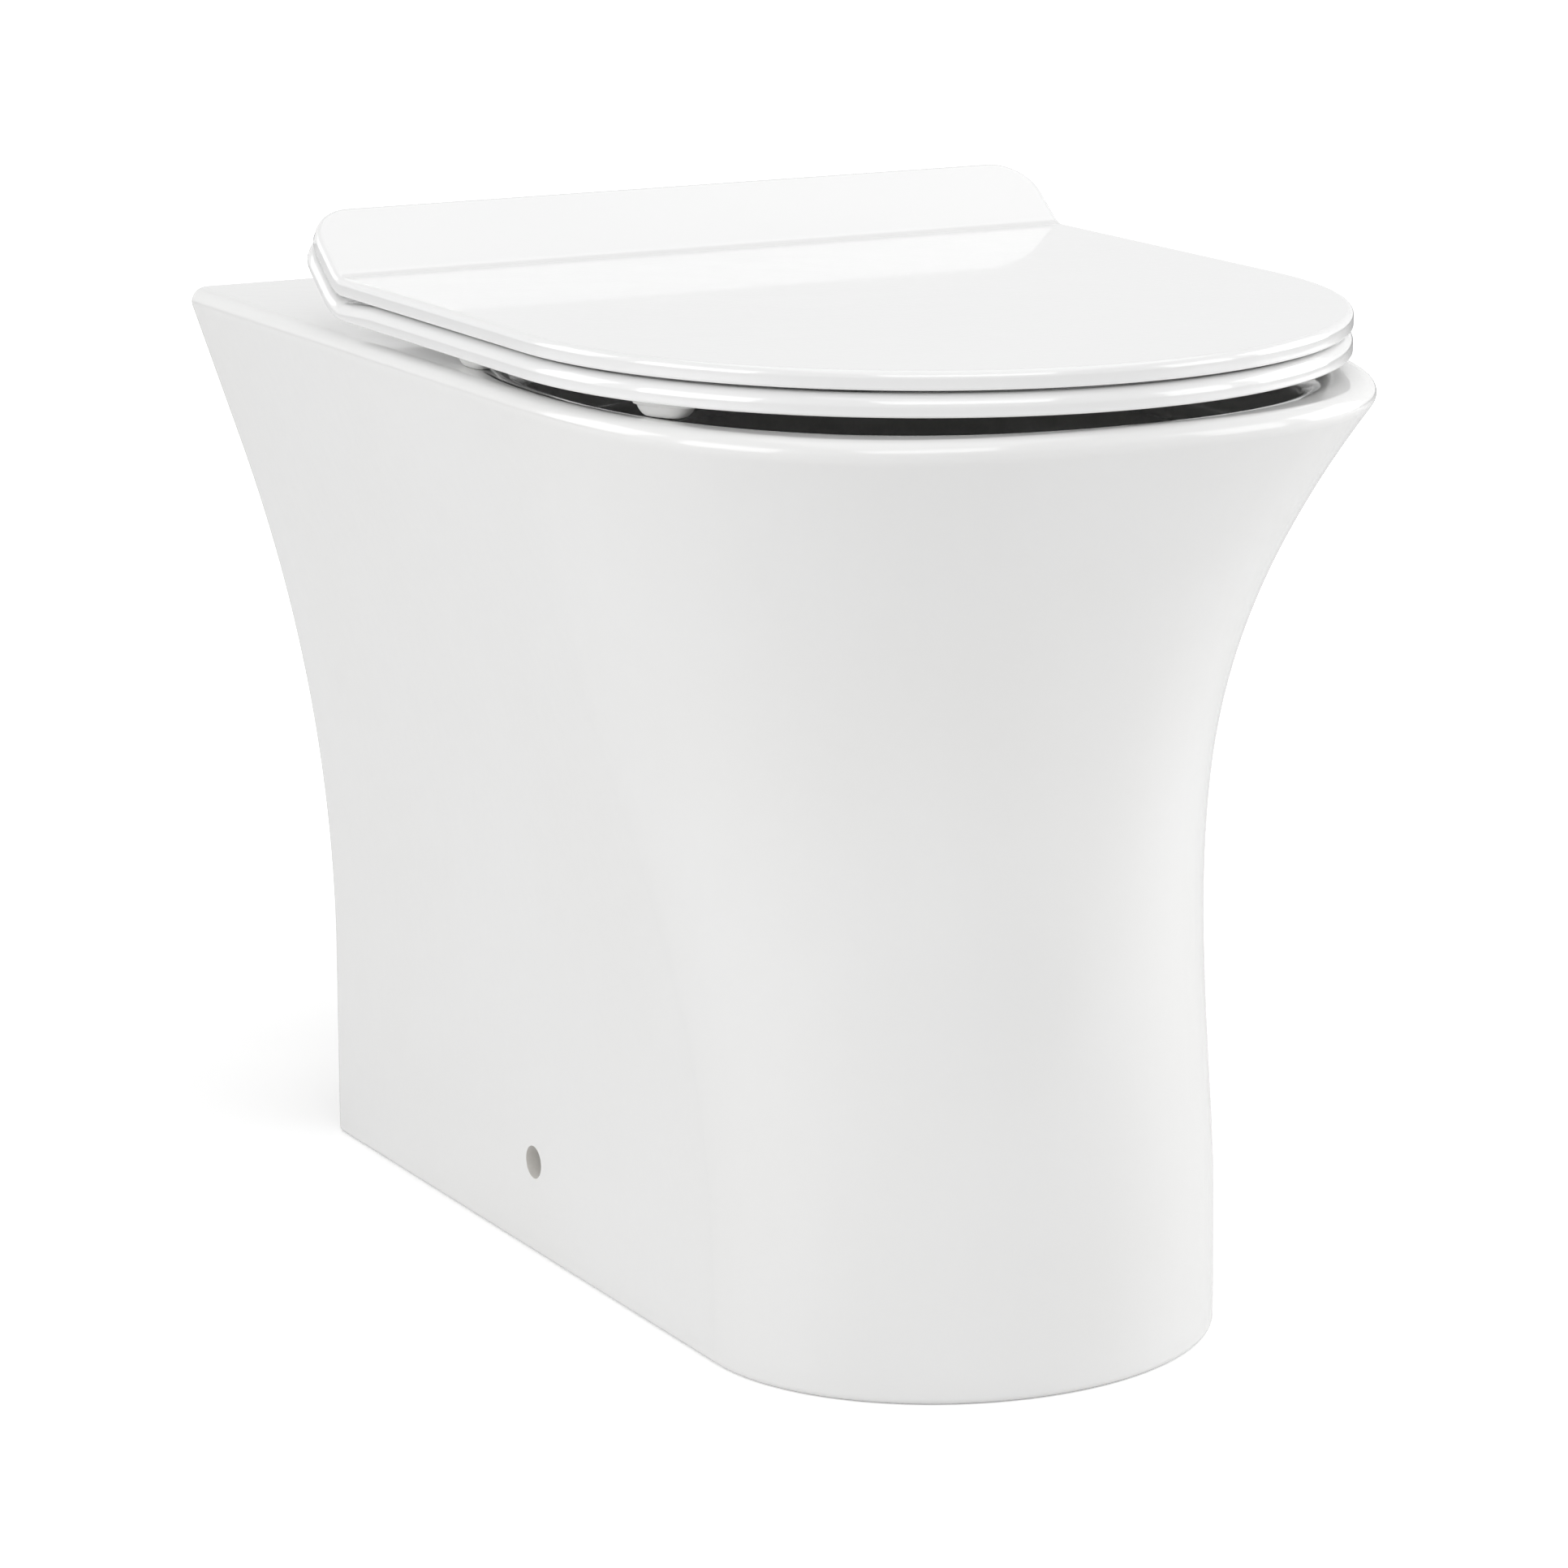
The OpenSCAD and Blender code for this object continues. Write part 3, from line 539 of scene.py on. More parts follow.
def ease(share: float) -> float:
    """A share of 0 to 1 with soft ends."""
    return share * share * (3 - 2 * share)


def squared(value: float, power: float) -> float:
    """A sine or cosine raised to a power that squares off a circle, with its sign."""
    return math.copysign(abs(value) ** power, value)


def straight(radius: float, low: float, high: float) -> Pairs:
    """The profile of a plain round bar."""
    return [(0, low), (radius, low), (radius, high), (0, high)]


def turned(
    profile: Profile, closed: bool = False, faces: int = 48, start: float = 0.0
) -> Mesh:
    """Spins a profile about Z.

    Args:
        profile: Points of radius and height. An open profile starts and ends on the axis.
        closed: Whether the profile is a ring's section, and joins its own start.
        faces: How many faces go round.
        start: The angle of the first edge, which keeps a bore's edges off those of the bar around it.

    Returns:
        The turned skin.
    """
    bm = bmesh.new()
    cos, sin = math.cos(start), math.sin(start)
    verts = [bm.verts.new((radius * cos, radius * sin, height)) for radius, height in profile]
    ends = verts[1:] + (verts[:1] if closed else [])
    edges = [bm.edges.new(pair) for pair in zip(verts, ends)]
    bmesh.ops.spin(
        bm, geom=verts + edges, cent=(0, 0, 0), axis=(0, 0, 1), angle=math.tau, steps=faces, use_merge=True
    )
    bmesh.ops.remove_doubles(bm, verts=bm.verts[:], dist=MERGE)
    return bm


def block(low: Vector, high: Vector, radius: float = 0.0) -> Mesh:
    """A box.

    Args:
        low: Its lowest corner.
        high: Its highest corner.
        radius: The width of the rounding on its edges.

    Returns:
        The box.
    """
    bm = bmesh.new()
    bmesh.ops.create_cube(bm, size=1.0)
    bmesh.ops.scale(bm, vec=high - low, verts=bm.verts[:])
    bmesh.ops.translate(bm, vec=(low + high) / 2, verts=bm.verts[:])
    if radius:
        soften(bm, radius)
    return bm


def soften(bm: Mesh, radius: float, segments: int = 3, least: float = SHARP_ANGLE) -> None:
    """Rounds the edges whose faces meet at more than an angle.

    Args:
        bm: The mesh.
        radius: The width of the rounding.
        segments: Faces across the rounding.
        least: The angle.
    """
    bmesh.ops.recalc_face_normals(bm, faces=bm.faces[:])
    edges = [edge for edge in bm.edges if edge.is_manifold and edge.calc_face_angle(0.0) > least]
    bevel(bm, edges, radius, segments)


def bevel(bm: Mesh, edges: Sequence[bmesh.types.BMEdge], radius: float, segments: int) -> None:
    """Rounds edges to a radius with that many faces across."""
    bmesh.ops.bevel(
        bm,
        geom=list(edges),
        offset=radius,
        affect="EDGES",
        segments=segments,
        profile=0.5,
        material=-1,
        clamp_overlap=True,
    )


def upright(bm: Mesh, least: float) -> list[bmesh.types.BMEdge]:
    """The edges that rise by more than a length."""
    return [edge for edge in bm.edges if abs(edge.verts[0].co.z - edge.verts[1].co.z) > least]


def flat(bm: Mesh, z: float) -> list[bmesh.types.BMEdge]:
    """The edges that lie at height z."""
    return [edge for edge in bm.edges if all(abs(vert.co.z - z) < MERGE for vert in edge.verts)]


def moved(bm: Mesh, matrix: Matrix) -> Mesh:
    """The mesh after a move."""
    bmesh.ops.transform(bm, matrix=matrix, verts=bm.verts[:])
    return bm


ALONG_X = Matrix.Rotation(math.radians(90), 4, "Y")
FROM_WALL = Matrix.Rotation(math.radians(90), 4, "X")


@dataclass(frozen=True)
class Axis:
    """The hinge axis and the sizes that ring, lid and hinges share on it.

    Attributes:
        back: Its distance from the wall.
        z: Its height.
        gap: Distance between the middles of the two posts.
        post: Width of a post.
        barrel: Radius of posts and knuckles.
        knuckle: Length of a knuckle.
        side_gap: Air between a post and a knuckle.
        damper: Radius of the cartridges and bushes.
        turn_gap: Air around what turns.
    """

    back: float = 0.1245
    z: float = 0.43
    gap: float = 0.155
    post: float = 0.014
    barrel: float = 0.007
    knuckle: float = 0.018
    side_gap: float = 0.0005
    damper: float = 0.0045
    turn_gap: float = 0.00005

    @property
    def inner(self) -> float:
        """Where a post's inner face lies."""
        return self.gap / 2 - self.post / 2

    @property
    def outer(self) -> float:
        """Where a post's outer face lies."""
        return self.gap / 2 + self.post / 2

    def place(self, x: float = 0.0) -> Matrix:
        """The move that lays a bar on the axis, starting at x."""
        return Matrix.Translation(at(x, self.back, self.z)) @ ALONG_X


AXIS = Axis()


class Solid:
    """A closed mesh object that other solids are joined to or cut from, and that becomes a piece."""

    def __init__(self, name: str, bm: Mesh, finish: Finish) -> None:
        """Makes an object from a mesh, whose faces are turned outwards first.

        Args:
            name: Name of the piece.
            bm: The mesh, which is used up.
            finish: What it looks like.
        """
        bmesh.ops.recalc_face_normals(bm, faces=bm.faces[:])
        mesh = bpy.data.meshes.new(name)
        bm.to_mesh(mesh)
        bm.free()
        mesh.materials.append(finish.material())
        self.finish = finish
        self.thing = in_scene(name, mesh)

    def act(self, cut: Cut, *tools: "Solid") -> "Solid":
        """Joins tools to this solid, or cuts it with them, and removes them.

        Args:
            cut: What the tools do.
            tools: The other solids.

        Returns:
            This solid.
        """
        for tool in tools:
            modifier = self.thing.modifiers.new("combine", "BOOLEAN")
            modifier.operation = cut.value
            modifier.solver = "EXACT"
            modifier.material_mode = "TRANSFER"
            modifier.object = tool.thing
            evaluated = self.thing.evaluated_get(bpy.context.evaluated_depsgraph_get())
            mesh = bpy.data.meshes.new_from_object(evaluated)
            self.thing.modifiers.clear()
            self.thing.data = mesh
            bpy.data.objects.remove(tool.thing)
        return self

    def piece(self, body: str, *nodes: str) -> bpy.types.Object:
        """Finishes the solid as a piece of the object.

        Args:
            body: The body that it rides on.
            nodes: The nodes that it stands for.

        Returns:
            Its object.
        """
        mesh = self.thing.data
        bm = bmesh.new()
        bm.from_mesh(mesh)
        bmesh.ops.remove_doubles(bm, verts=bm.verts[:], dist=MERGE)
        bmesh.ops.dissolve_degenerate(bm, edges=bm.edges[:], dist=MERGE)
        bmesh.ops.recalc_face_normals(bm, faces=bm.faces[:])
        for face in bm.faces:
            face.smooth = True
        bm.to_mesh(mesh)
        bm.free()
        mesh.set_sharp_from_angle(angle=SHARP_ANGLE)
        self.thing.name = mesh.name = f"dressed_{nodes[0]}"
        even = self.thing.modifiers.new("even_shading", "WEIGHTED_NORMAL")
        even.keep_sharp = True
        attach(self.thing, body)
        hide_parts(*nodes)
        LOG.info("%s: %d faces on %s", self.thing.name, len(mesh.polygons), body)
        return self.thing


@dataclass
class Wall:
    """The line of a wall from foot to rim: upright, flared, straight, and rolled over into the rim.

    Attributes:
        foot: Its reach at the foot.
        reach: Its largest reach.
        lean: The angle of its straight part.
        start: The height at which it begins to flare.
        top: The height of the rim.
        roll: The radius that it rolls over with.
    """

    foot: float
    reach: float
    lean: float
    start: float
    top: float
    roll: float

    def out(self, z: float) -> float:
        """The reach at height z.

        Args:
            z: The height.

        Returns:
            The wall's distance there.
        """
        straight = self.top - self.roll * (1 + math.sin(self.lean))
        if z >= straight:
            rise = z - self.top + self.roll
            return self.reach - self.roll + math.sqrt(max(0.0, self.roll**2 - rise**2))
        slope = math.tan(self.lean)
        meet = straight - (self.reach - self.roll * (1 - math.cos(self.lean)) - self.foot) / slope
        start = max(self.start, 2 * meet - straight)
        end = 2 * meet - start
        if z >= end:
            return self.foot + slope * (z - meet)
        if z > start:
            return self.foot + slope * (z - start) ** 2 / (2 * (end - start))
        return self.foot


@dataclass
class Pan:
    """The china pan: skirt, rim, bowl, trapway and pipe ends in one casting."""

    height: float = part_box("pan")[1].z
    depth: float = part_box("pan")[1].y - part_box("pan")[0].y
    width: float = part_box("pan")[1].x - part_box("pan")[0].x
    foot_width: float = 0.225
    foot_depth: float = 0.472
    toe: float = 0.06
    waist_depth: float = 0.457
    waist: float = 0.235
    flare: float = 0.087
    side_lean: float = math.radians(19.2)
    nose_lean: float = math.radians(36)
    foot_front: float = 0.1
    rim_front: float = 0.222
    squareness: float = 0.8
    roll: float = 0.006
    corner: float = 0.004
    sole: float = 0.003
    skirt: float = 0.012
    deck: float = 0.016
    under_deck: float = 0.058
    pocket_gap: float = 0.014
    pocket_lap: float = 0.01
    bowl_half: float = 0.15
    bowl_front: float = 0.489
    bowl_back: float = 0.193
    bowl_middle: float = 0.325
    back_power: float = 2.4
    front_power: float = 2.3
    crest: float = 0.019
    crest_drop: float = 0.016
    fillet: float = 0.008
    shell: float = 0.009
    shell_rise: float = 0.008
    shelf_drop: float = 0.038
    shelf: float = 0.012
    throat_drop: float = 0.022
    throat_draw: float = 0.008
    fall_power: float = 0.9
    sump_wide: float = 0.004
    sump_front: float = 0.023
    sump_back: float = 0.029
    sump_deep: float = 0.003
    dip_back: float = 0.2655
    dip_start: float = 0.212
    dip_power: float = 0.8
    outlet: float = 0.18
    outlet_width: float = 0.102
    outlet_length: float = 0.04
    outlet_back: float = 0.02
    pipe_edge: float = 0.002
    trap_bore: float = 0.072
    trap_wall: float = 0.008
    trap_bend: float = 0.046
    trap_tilt: float = math.radians(72)
    crest_rise: float = 0.11
    entry_back: float = 0.295
    entry_bend: float = 0.06
    entry_tilt: float = math.radians(-15)
    inlet: float = 0.335
    inlet_bore: float = 0.055
    inlet_wall: float = 0.009
    inlet_back: float = 0.025
    passage_back: float = 0.088
    slot_width: float = 0.072
    slot_height: float = 0.014
    slot_rise: float = 0.001
    slot_lap: float = 0.004
    slot_power: float = 0.25
    side_hole: float = 0.0145
    side_hole_span: tuple[float, float] = (-0.02, 0.01)
    seat_hole: float = 0.0145
    seat_hole_span: tuple[float, float] = (-0.02, 0.01)
    points_back: int = 6
    points_corner: int = 4
    points_side: int = 20
    points_front: int = 46

    def side(self, z: float) -> float:
        """Half the width of the skirt at height z."""
        wall = Wall(self.foot_width / 2, self.width / 2, self.side_lean, self.flare, self.height, self.roll)
        return wall.out(z)

    def nose(self, z: float) -> float:
        """Distance of the skirt's nose from the wall at height z.

        Args:
            z: The height.

        Returns:
            The distance.
        """
        wall = Wall(self.waist_depth, self.depth, self.nose_lean, self.waist, self.height, self.roll)
        share = clamped((z - self.toe) / (self.waist - self.toe))
        return wall.out(z) + (self.foot_depth - self.waist_depth) * (1 - ease(share))

    def outline(self, z: float, inset: float, back: float = 0.0, corner: float = 0.0) -> Loop:
        """The skirt's outline at height z.

        Args:
            z: The height, at which the widths are taken.
            inset: How far it is drawn in.
            back: Distance of its back edge from the wall.
            corner: Radius of its back corners.

        Returns:
            Its points, from the middle of the back.
        """
        level = max(z, 0.0)
        share = level / self.height
        half, nose = self.side(level) - inset, self.nose(level) - inset
        front = self.foot_front + (self.rim_front - self.foot_front) * share**2 - inset
        power = 2 / (2 + self.squareness * share**3)
        start = nose - front
        points = [at((half - corner) * n, back, z) for n in steps(self.points_back)[:-1]]
        rounded = rounding(self.points_corner, corner)
        points += [at(half - across, back + along, z) for along, across in rounded]
        points += [at(half, b, z) for b in steps(self.points_side, back + corner, start)[1:-1]]
        points += [
            at(half * max(math.cos(a), 0.0) ** power, start + front * math.sin(a) ** power, z)
            for a in quarter(self.points_front)
        ]
        return mirrored(points)

    def oval(self, z: float, half: float, front: float, back: float, middle: float, count: int) -> Loop:
        """The bowl's outline.

        Args:
            z: The height.
            half: Half its width.
            front: Distance of its front from the wall.
            back: Distance of its back from the wall.
            middle: Distance of its widest part from the wall.
            count: How many points it has.

        Returns:
            Its points, from the middle of the back.
        """
        points = []
        for angle in steps(count // 2, 0.0, math.pi):
            behind = angle < math.pi / 2
            power = 2 / (self.back_power if behind else self.front_power)
            reach = middle - back if behind else front - middle
            across = half * max(math.sin(angle), 0.0) ** power
            points.append(at(across, middle - reach * squared(math.cos(angle), power), z))
        return mirrored(points)

    def bowl_levels(self, grow: float, count: int) -> list[Loop]:
        """The bowl's outlines from the shelf down to its floor.

        Args:
            grow: How far they are pushed out, for the outside of the shell.
            count: How many points each has.

        Returns:
            The outlines, from the top.
        """
        shelf_z = self.height - self.shelf_drop
        half, front, back = self.bowl_half, self.bowl_front - self.shelf, self.bowl_back
        draw = self.shelf + self.throat_draw
        edge = (half - self.shelf, front, back + self.shelf, self.bowl_middle)
        throat = (half - draw, front - self.throat_drop, back + draw, self.bowl_middle)
        entry = self.entry_back
        floor = (self.trap_bore / 2 + self.sump_wide, entry + self.sump_front, entry - self.sump_back, entry)
        top, low = shelf_z - self.throat_drop, self.trap_low() - self.sump_deep + self.fillet
        levels = []
        for angle in quarter(5):
            sizes = blend(edge, throat, 1 - math.cos(angle))
            levels.append((shelf_z - self.throat_drop * math.sin(angle), sizes))
        for angle in quarter(18)[1:]:
            share = math.sin(angle)
            levels.append((top + (low - top) * share, blend(floor, throat, (1 - share) ** self.fall_power)))
        for pull, left in rounding(5, self.fillet)[1:]:
            sizes = [floor[0] - pull, floor[1] - pull, floor[2] + pull, floor[3]]
            levels.append((low - self.fillet + left, sizes))
        for z, sizes in levels:
            depth = clamped((top - z) / (top - self.dip_start))
            sizes[2] = max(sizes[2], throat[2] + (self.dip_back - throat[2]) * depth**self.dip_power)
        return [self.oval(z, s[0] + grow, s[1] + grow, s[2] - grow, s[3], count) for z, s in levels]

    def rim_oval(self, drop: float, grow: float, count: int) -> Loop:
        """The outline of the rim's opening, some way below the rim and grown."""
        half, front, back = self.bowl_half + grow, self.bowl_front + grow, self.bowl_back - grow
        return self.oval(self.height - drop, half, front, back, self.bowl_middle, count)

    def casting(self) -> Solid:
        """Skirt, rim and bowl as one closed skin.

        Returns:
            The skin as a solid.
        """
        first_roll = self.height - self.roll * (1 + math.sin(self.nose_lean))
        rolled = [self.height - self.roll * (1 - math.sin(a)) for a in quarter(12, -self.nose_lean)]
        heights = [*steps(46, self.sole, first_roll)[1:-1], *rolled]
        levels = [self.outline(z, inset, corner=self.corner) for z, inset in rounding(4, self.sole)]
        levels += [self.outline(z, 0.0, corner=self.corner) for z in heights]
        rim = rounding(12, self.crest_drop, self.crest)
        rim += [(drop, 0.0) for drop in steps(3, self.crest_drop, self.shelf_drop - self.fillet)[1:]]
        rim += [(self.shelf_drop - left, -pull) for pull, left in rounding(5, self.fillet)[1:]]
        count = len(levels[0])
        levels += [self.rim_oval(drop, grow, count) for drop, grow in rim]
        levels += self.bowl_levels(0.0, count)
        return Solid("pan", loft(levels), GLAZE)

    def hollow(self) -> Solid:
        """The space inside the skirt and under the deck.

        Returns:
            The space as a solid.
        """
        join = self.height - self.under_deck
        levels = [self.outline(z, self.skirt, back=-PAST) for z in (-PAST, *steps(20, 0.0, join)[1:])]
        space = Solid("hollow", loft(levels), BISCUIT)
        front, low = self.bowl_back - self.shell - self.pocket_gap, join - self.pocket_lap
        half = self.side(low) - self.skirt
        pocket = block(at(-half, front, low), at(half, -PAST, self.height - self.deck))
        return space.act(Cut.ADD, Solid("pocket", pocket, BISCUIT))

    def trap_stations(self, past: float) -> list[tuple[float, float, float]]:
        """The trapway's line from the bowl to the outlet.

        Args:
            past: How far it runs on from the spigot's root.

        Returns:
            Distance from the wall, height and heading of each station.
        """
        spigot = self.outlet_back + self.outlet_length
        tilt, bend, crest = self.trap_tilt, self.trap_bend, self.outlet + self.crest_rise
        drop, run = bend * (1 - math.cos(tilt)), bend * math.sin(tilt)
        crest_back = spigot + 2 * run + (self.crest_rise - 2 * drop) / math.tan(tilt)
        low_back = self.entry_back + self.entry_bend * math.sin(self.entry_tilt)
        rise_run = low_back - self.entry_bend * math.sin(tilt) - crest_back - run
        low_z = crest - drop - rise_run * math.tan(tilt) + self.entry_bend * math.cos(tilt)
        arcs = (
            (low_back, low_z, self.entry_bend, self.entry_tilt, tilt, 14),
            (crest_back, crest - bend, bend, tilt, -tilt, 22),
            (spigot, self.outlet + bend, bend, -tilt, 0.0, 12),
        )
        stations = []
        for back, z, radius, first, last, count in arcs:
            bend = radius if last > first else -radius
            for heading in steps(count, first, last):
                stations.append((back - bend * math.sin(heading), z - bend * math.cos(heading), heading))
        return [*stations, (spigot - past, self.outlet, 0.0)]

    def trap_low(self) -> float:
        """Height of the lowest point of the trap's bore."""
        return min(z for _, z, _ in self.trap_stations(0.0)) - self.trap_bore / 2

    def trapway(self, radius: float, past: float, finish: Finish) -> Solid:
        """The trapway as a solid round tube.

        Args:
            radius: Its radius.
            past: How far it runs on from the spigot's root.
            finish: Its finish.

        Returns:
            The tube.
        """
        levels = []
        for back, z, heading in self.trap_stations(past):
            points = []
            for angle in whole_turn(48):
                across, rise = radius * math.sin(angle), radius * math.cos(angle)
                points.append(at(across, back + rise * math.sin(heading), z + rise * math.cos(heading)))
            levels.append(points)
        return Solid("trapway", loft(levels), finish)

    def spigot(self) -> Solid:
        """The outside of the outlet's spigot, as a round bar with rounded ends."""
        bm = turned(straight(self.outlet_width / 2, 0, self.outlet_length), faces=64)
        soften(bm, self.pipe_edge)
        place = Matrix.Translation(at(0, self.outlet_back, self.outlet)) @ FROM_WALL
        return Solid("spigot", moved(bm, place), BISCUIT)

    def flush_way(self, grow: float, lead: float, edge: float, finish: Finish) -> Solid:
        """The round socket for the flush pipe and the way from it to the flat slot under the rim.

        Args:
            grow: How far it is pushed out, for the outside of the china.
            lead: How far it runs past the socket's mouth.
            edge: Radius of the mouth's outer edge.
            finish: Its finish.

        Returns:
            The way as one solid.
        """
        slot_z = self.height - self.shelf_drop + self.slot_rise + self.slot_height / 2
        half, tall = self.slot_width / 2 + grow, self.slot_height / 2 + grow
        start, end = self.passage_back, self.bowl_back + self.slot_lap - grow
        mouth = rounding(4, edge) if edge else [(0.0, 0.0)]
        stations = [(self.inlet_back - lead + run, inset, 0.0) for run, inset in mouth]
        stations += [(start + (end - start) * share, 0.0, share) for share in steps(12)]
        levels = []
        for back, inset, share in stations:
            radius = self.inlet_bore / 2 + grow - inset
            points = []
            for angle in whole_turn(64):
                cos, sin = math.cos(angle), math.sin(angle)
                ring = (radius * cos, self.inlet + radius * sin)
                slot = (half * squared(cos, self.slot_power), slot_z + tall * squared(sin, self.slot_power))
                x, z = blend(ring, slot, ease(share))
                points.append(at(x, back, z))
            levels.append(points)
        return Solid("flush_way", loft(levels), finish)

    def cut_holes(self, pan: Solid) -> None:
        """Cuts the seat's fixing holes into the deck and the side holes into the skirt.

        Args:
            pan: The casting.
        """
        for side in Side:
            low, high = self.seat_hole_span
            bar = turned(straight(self.seat_hole / 2, low, high), faces=40)
            place = Matrix.Translation(at(side.value * AXIS.gap / 2, FIXING_BACK, self.height))
            pan.act(Cut.TAKE, Solid("hole", moved(bar, place), BISCUIT))
            low, high = span(side, *(self.foot_width / 2 + past for past in self.side_hole_span))
            bar = turned(straight(self.side_hole / 2, low, high), faces=40)
            place = Matrix.Translation(at(0, SIDE_HOLE_BACK, SIDE_HOLE_HEIGHT)) @ ALONG_X
            pan.act(Cut.TAKE, Solid("hole", moved(bar, place), BISCUIT))

    def build(self) -> bpy.types.Object:
        """Builds the pan and puts it in the scene.

        Returns:
            The pan's object.
        """
        pan, space = self.casting(), self.hollow()
        shell = self.bowl_levels(self.shell, 96)
        lid_z = self.height - self.shelf_drop + self.shell_rise
        lid = [Vector((p.x, p.y, lid_z)) for p in shell[0]]
        for point in shell[-1]:
            point.z -= self.shell
        space.act(
            Cut.TAKE,
            Solid("shell", loft([lid, *shell]), BISCUIT),
            self.trapway(self.trap_bore / 2 + self.trap_wall, self.outlet_length / 2, BISCUIT),
            self.spigot(),
            self.flush_way(self.inlet_wall, 0.0, self.pipe_edge, BISCUIT),
        )
        pan.act(
            Cut.TAKE,
            space,
            self.trapway(self.trap_bore / 2, self.outlet_length + PAST, GLAZE),
            self.flush_way(0.0, PAST, 0.0, GLAZE),
        )
        self.cut_holes(pan)
        return pan.piece("root", "pan", "pan_foot", "inlet_horn")


@dataclass(frozen=True)
class Plate:
    """A slim plate with a round nose and a turned up back, first made flat and then bent.

    Along the plate, a place is negative in front of the bend, runs through it and goes on over the flap.

    Attributes:
        name: The piece's name.
        thickness: Its thickness.
        drop: How far its top lies below the lid's top.
        counts: Steps along the back, round a corner, along a side and round half the nose.
    """

    name: str
    thickness: float
    drop: float
    half: float = (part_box("lid")[1].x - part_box("lid")[0].x) / 2
    front: float = 0.514
    top: float = 0.425
    kick_back: float = 0.166
    kick_angle: float = math.radians(38)
    kick_bend: float = 0.012
    flap: float = 0.0365
    corner: float = 0.02
    edge_top: float = 0.003
    edge_low: float = 0.0012
    middle: float = 0.022
    counts: Counts = (10, 10, 14, 48)

    @property
    def bend_run(self) -> float:
        """Length of the bend along the flat plate."""
        return self.kick_angle * self.middle

    @property
    def nose(self) -> float:
        """Distance of the round nose's centre from the wall."""
        return self.front - self.half

    def bent(self, point: Vector) -> Vector:
        """Where a point of the flat plate goes when the plate is bent.

        Args:
            point: The place, with Y counted to the wall from where the bend starts.

        Returns:
            The place in the frame.
        """
        angle = min(max(point.y, 0.0), self.bend_run) / self.middle
        radius = self.kick_bend - point.z
        run, rise = min(point.y, 0.0), max(point.y - self.bend_run, 0.0)
        along = run + radius * math.sin(angle) + rise * math.cos(angle)
        up = self.kick_bend - radius * math.cos(angle) + rise * math.sin(angle)
        return at(point.x, self.kick_back - along, self.top + up)

    def loop(self, z: float, half: float, back: float, corner: float, counts: Counts) -> Loop:
        """An outline on the flat plate, with a straight back, round corners, straight sides and a round nose.

        Args:
            z: Its height, which is negative below the lid's top.
            half: Half its width, and the radius of its nose.
            back: Where its back lies along the plate.
            corner: Radius of its back corners.
            counts: Steps along the back, round a corner, along a side and round half the nose.

        Returns:
            Its points, from the middle of the back.
        """
        flat, curve, side, front = counts
        nose = self.kick_back - self.nose
        points = [Vector(((half - corner) * n, back, z)) for n in steps(flat)[:-1]]
        points += [Vector((half - across, back - along, z)) for along, across in rounding(curve, corner)]
        points += [Vector((half, y, z)) for y in steps(side, back - corner, nose)[1:-1]]
        points += [Vector((half * math.cos(a), nose - half * math.sin(a), z)) for a in quarter(front)]
        points[-1].x = 0.0
        return mirrored(points)

    def outline(self, z: float, inset: float = 0.0) -> Loop:
        """The flat plate's outline at a height, drawn in by an inset."""
        back = self.bend_run + self.flap - inset
        return self.loop(z, self.half - inset, back, self.corner - inset, self.counts)

    def bend(self, bm: Mesh) -> Mesh:
        """Cuts the flat plate across where it will bend, and bends it.

        Args:
            bm: The flat plate.

        Returns:
            The bent plate.
        """
        for place in steps(12, 0.0, self.bend_run):
            geom = bm.verts[:] + bm.edges[:] + bm.faces[:]
            bmesh.ops.bisect_plane(bm, geom=geom, dist=MERGE, plane_co=(0, place, 0), plane_no=(0, 1, 0))
        for vert in bm.verts:
            vert.co = self.bent(vert.co)
        return bm

    def whole(self) -> Mesh:
        """The flat plate without an opening, with rounded edges."""
        low = -self.drop - self.thickness
        levels = [self.outline(low + up, inset) for up, inset in rounding(4, self.edge_low)]
        levels += [self.outline(-self.drop - down, inset) for inset, down in rounding(7, self.edge_top)]
        return loft(levels)


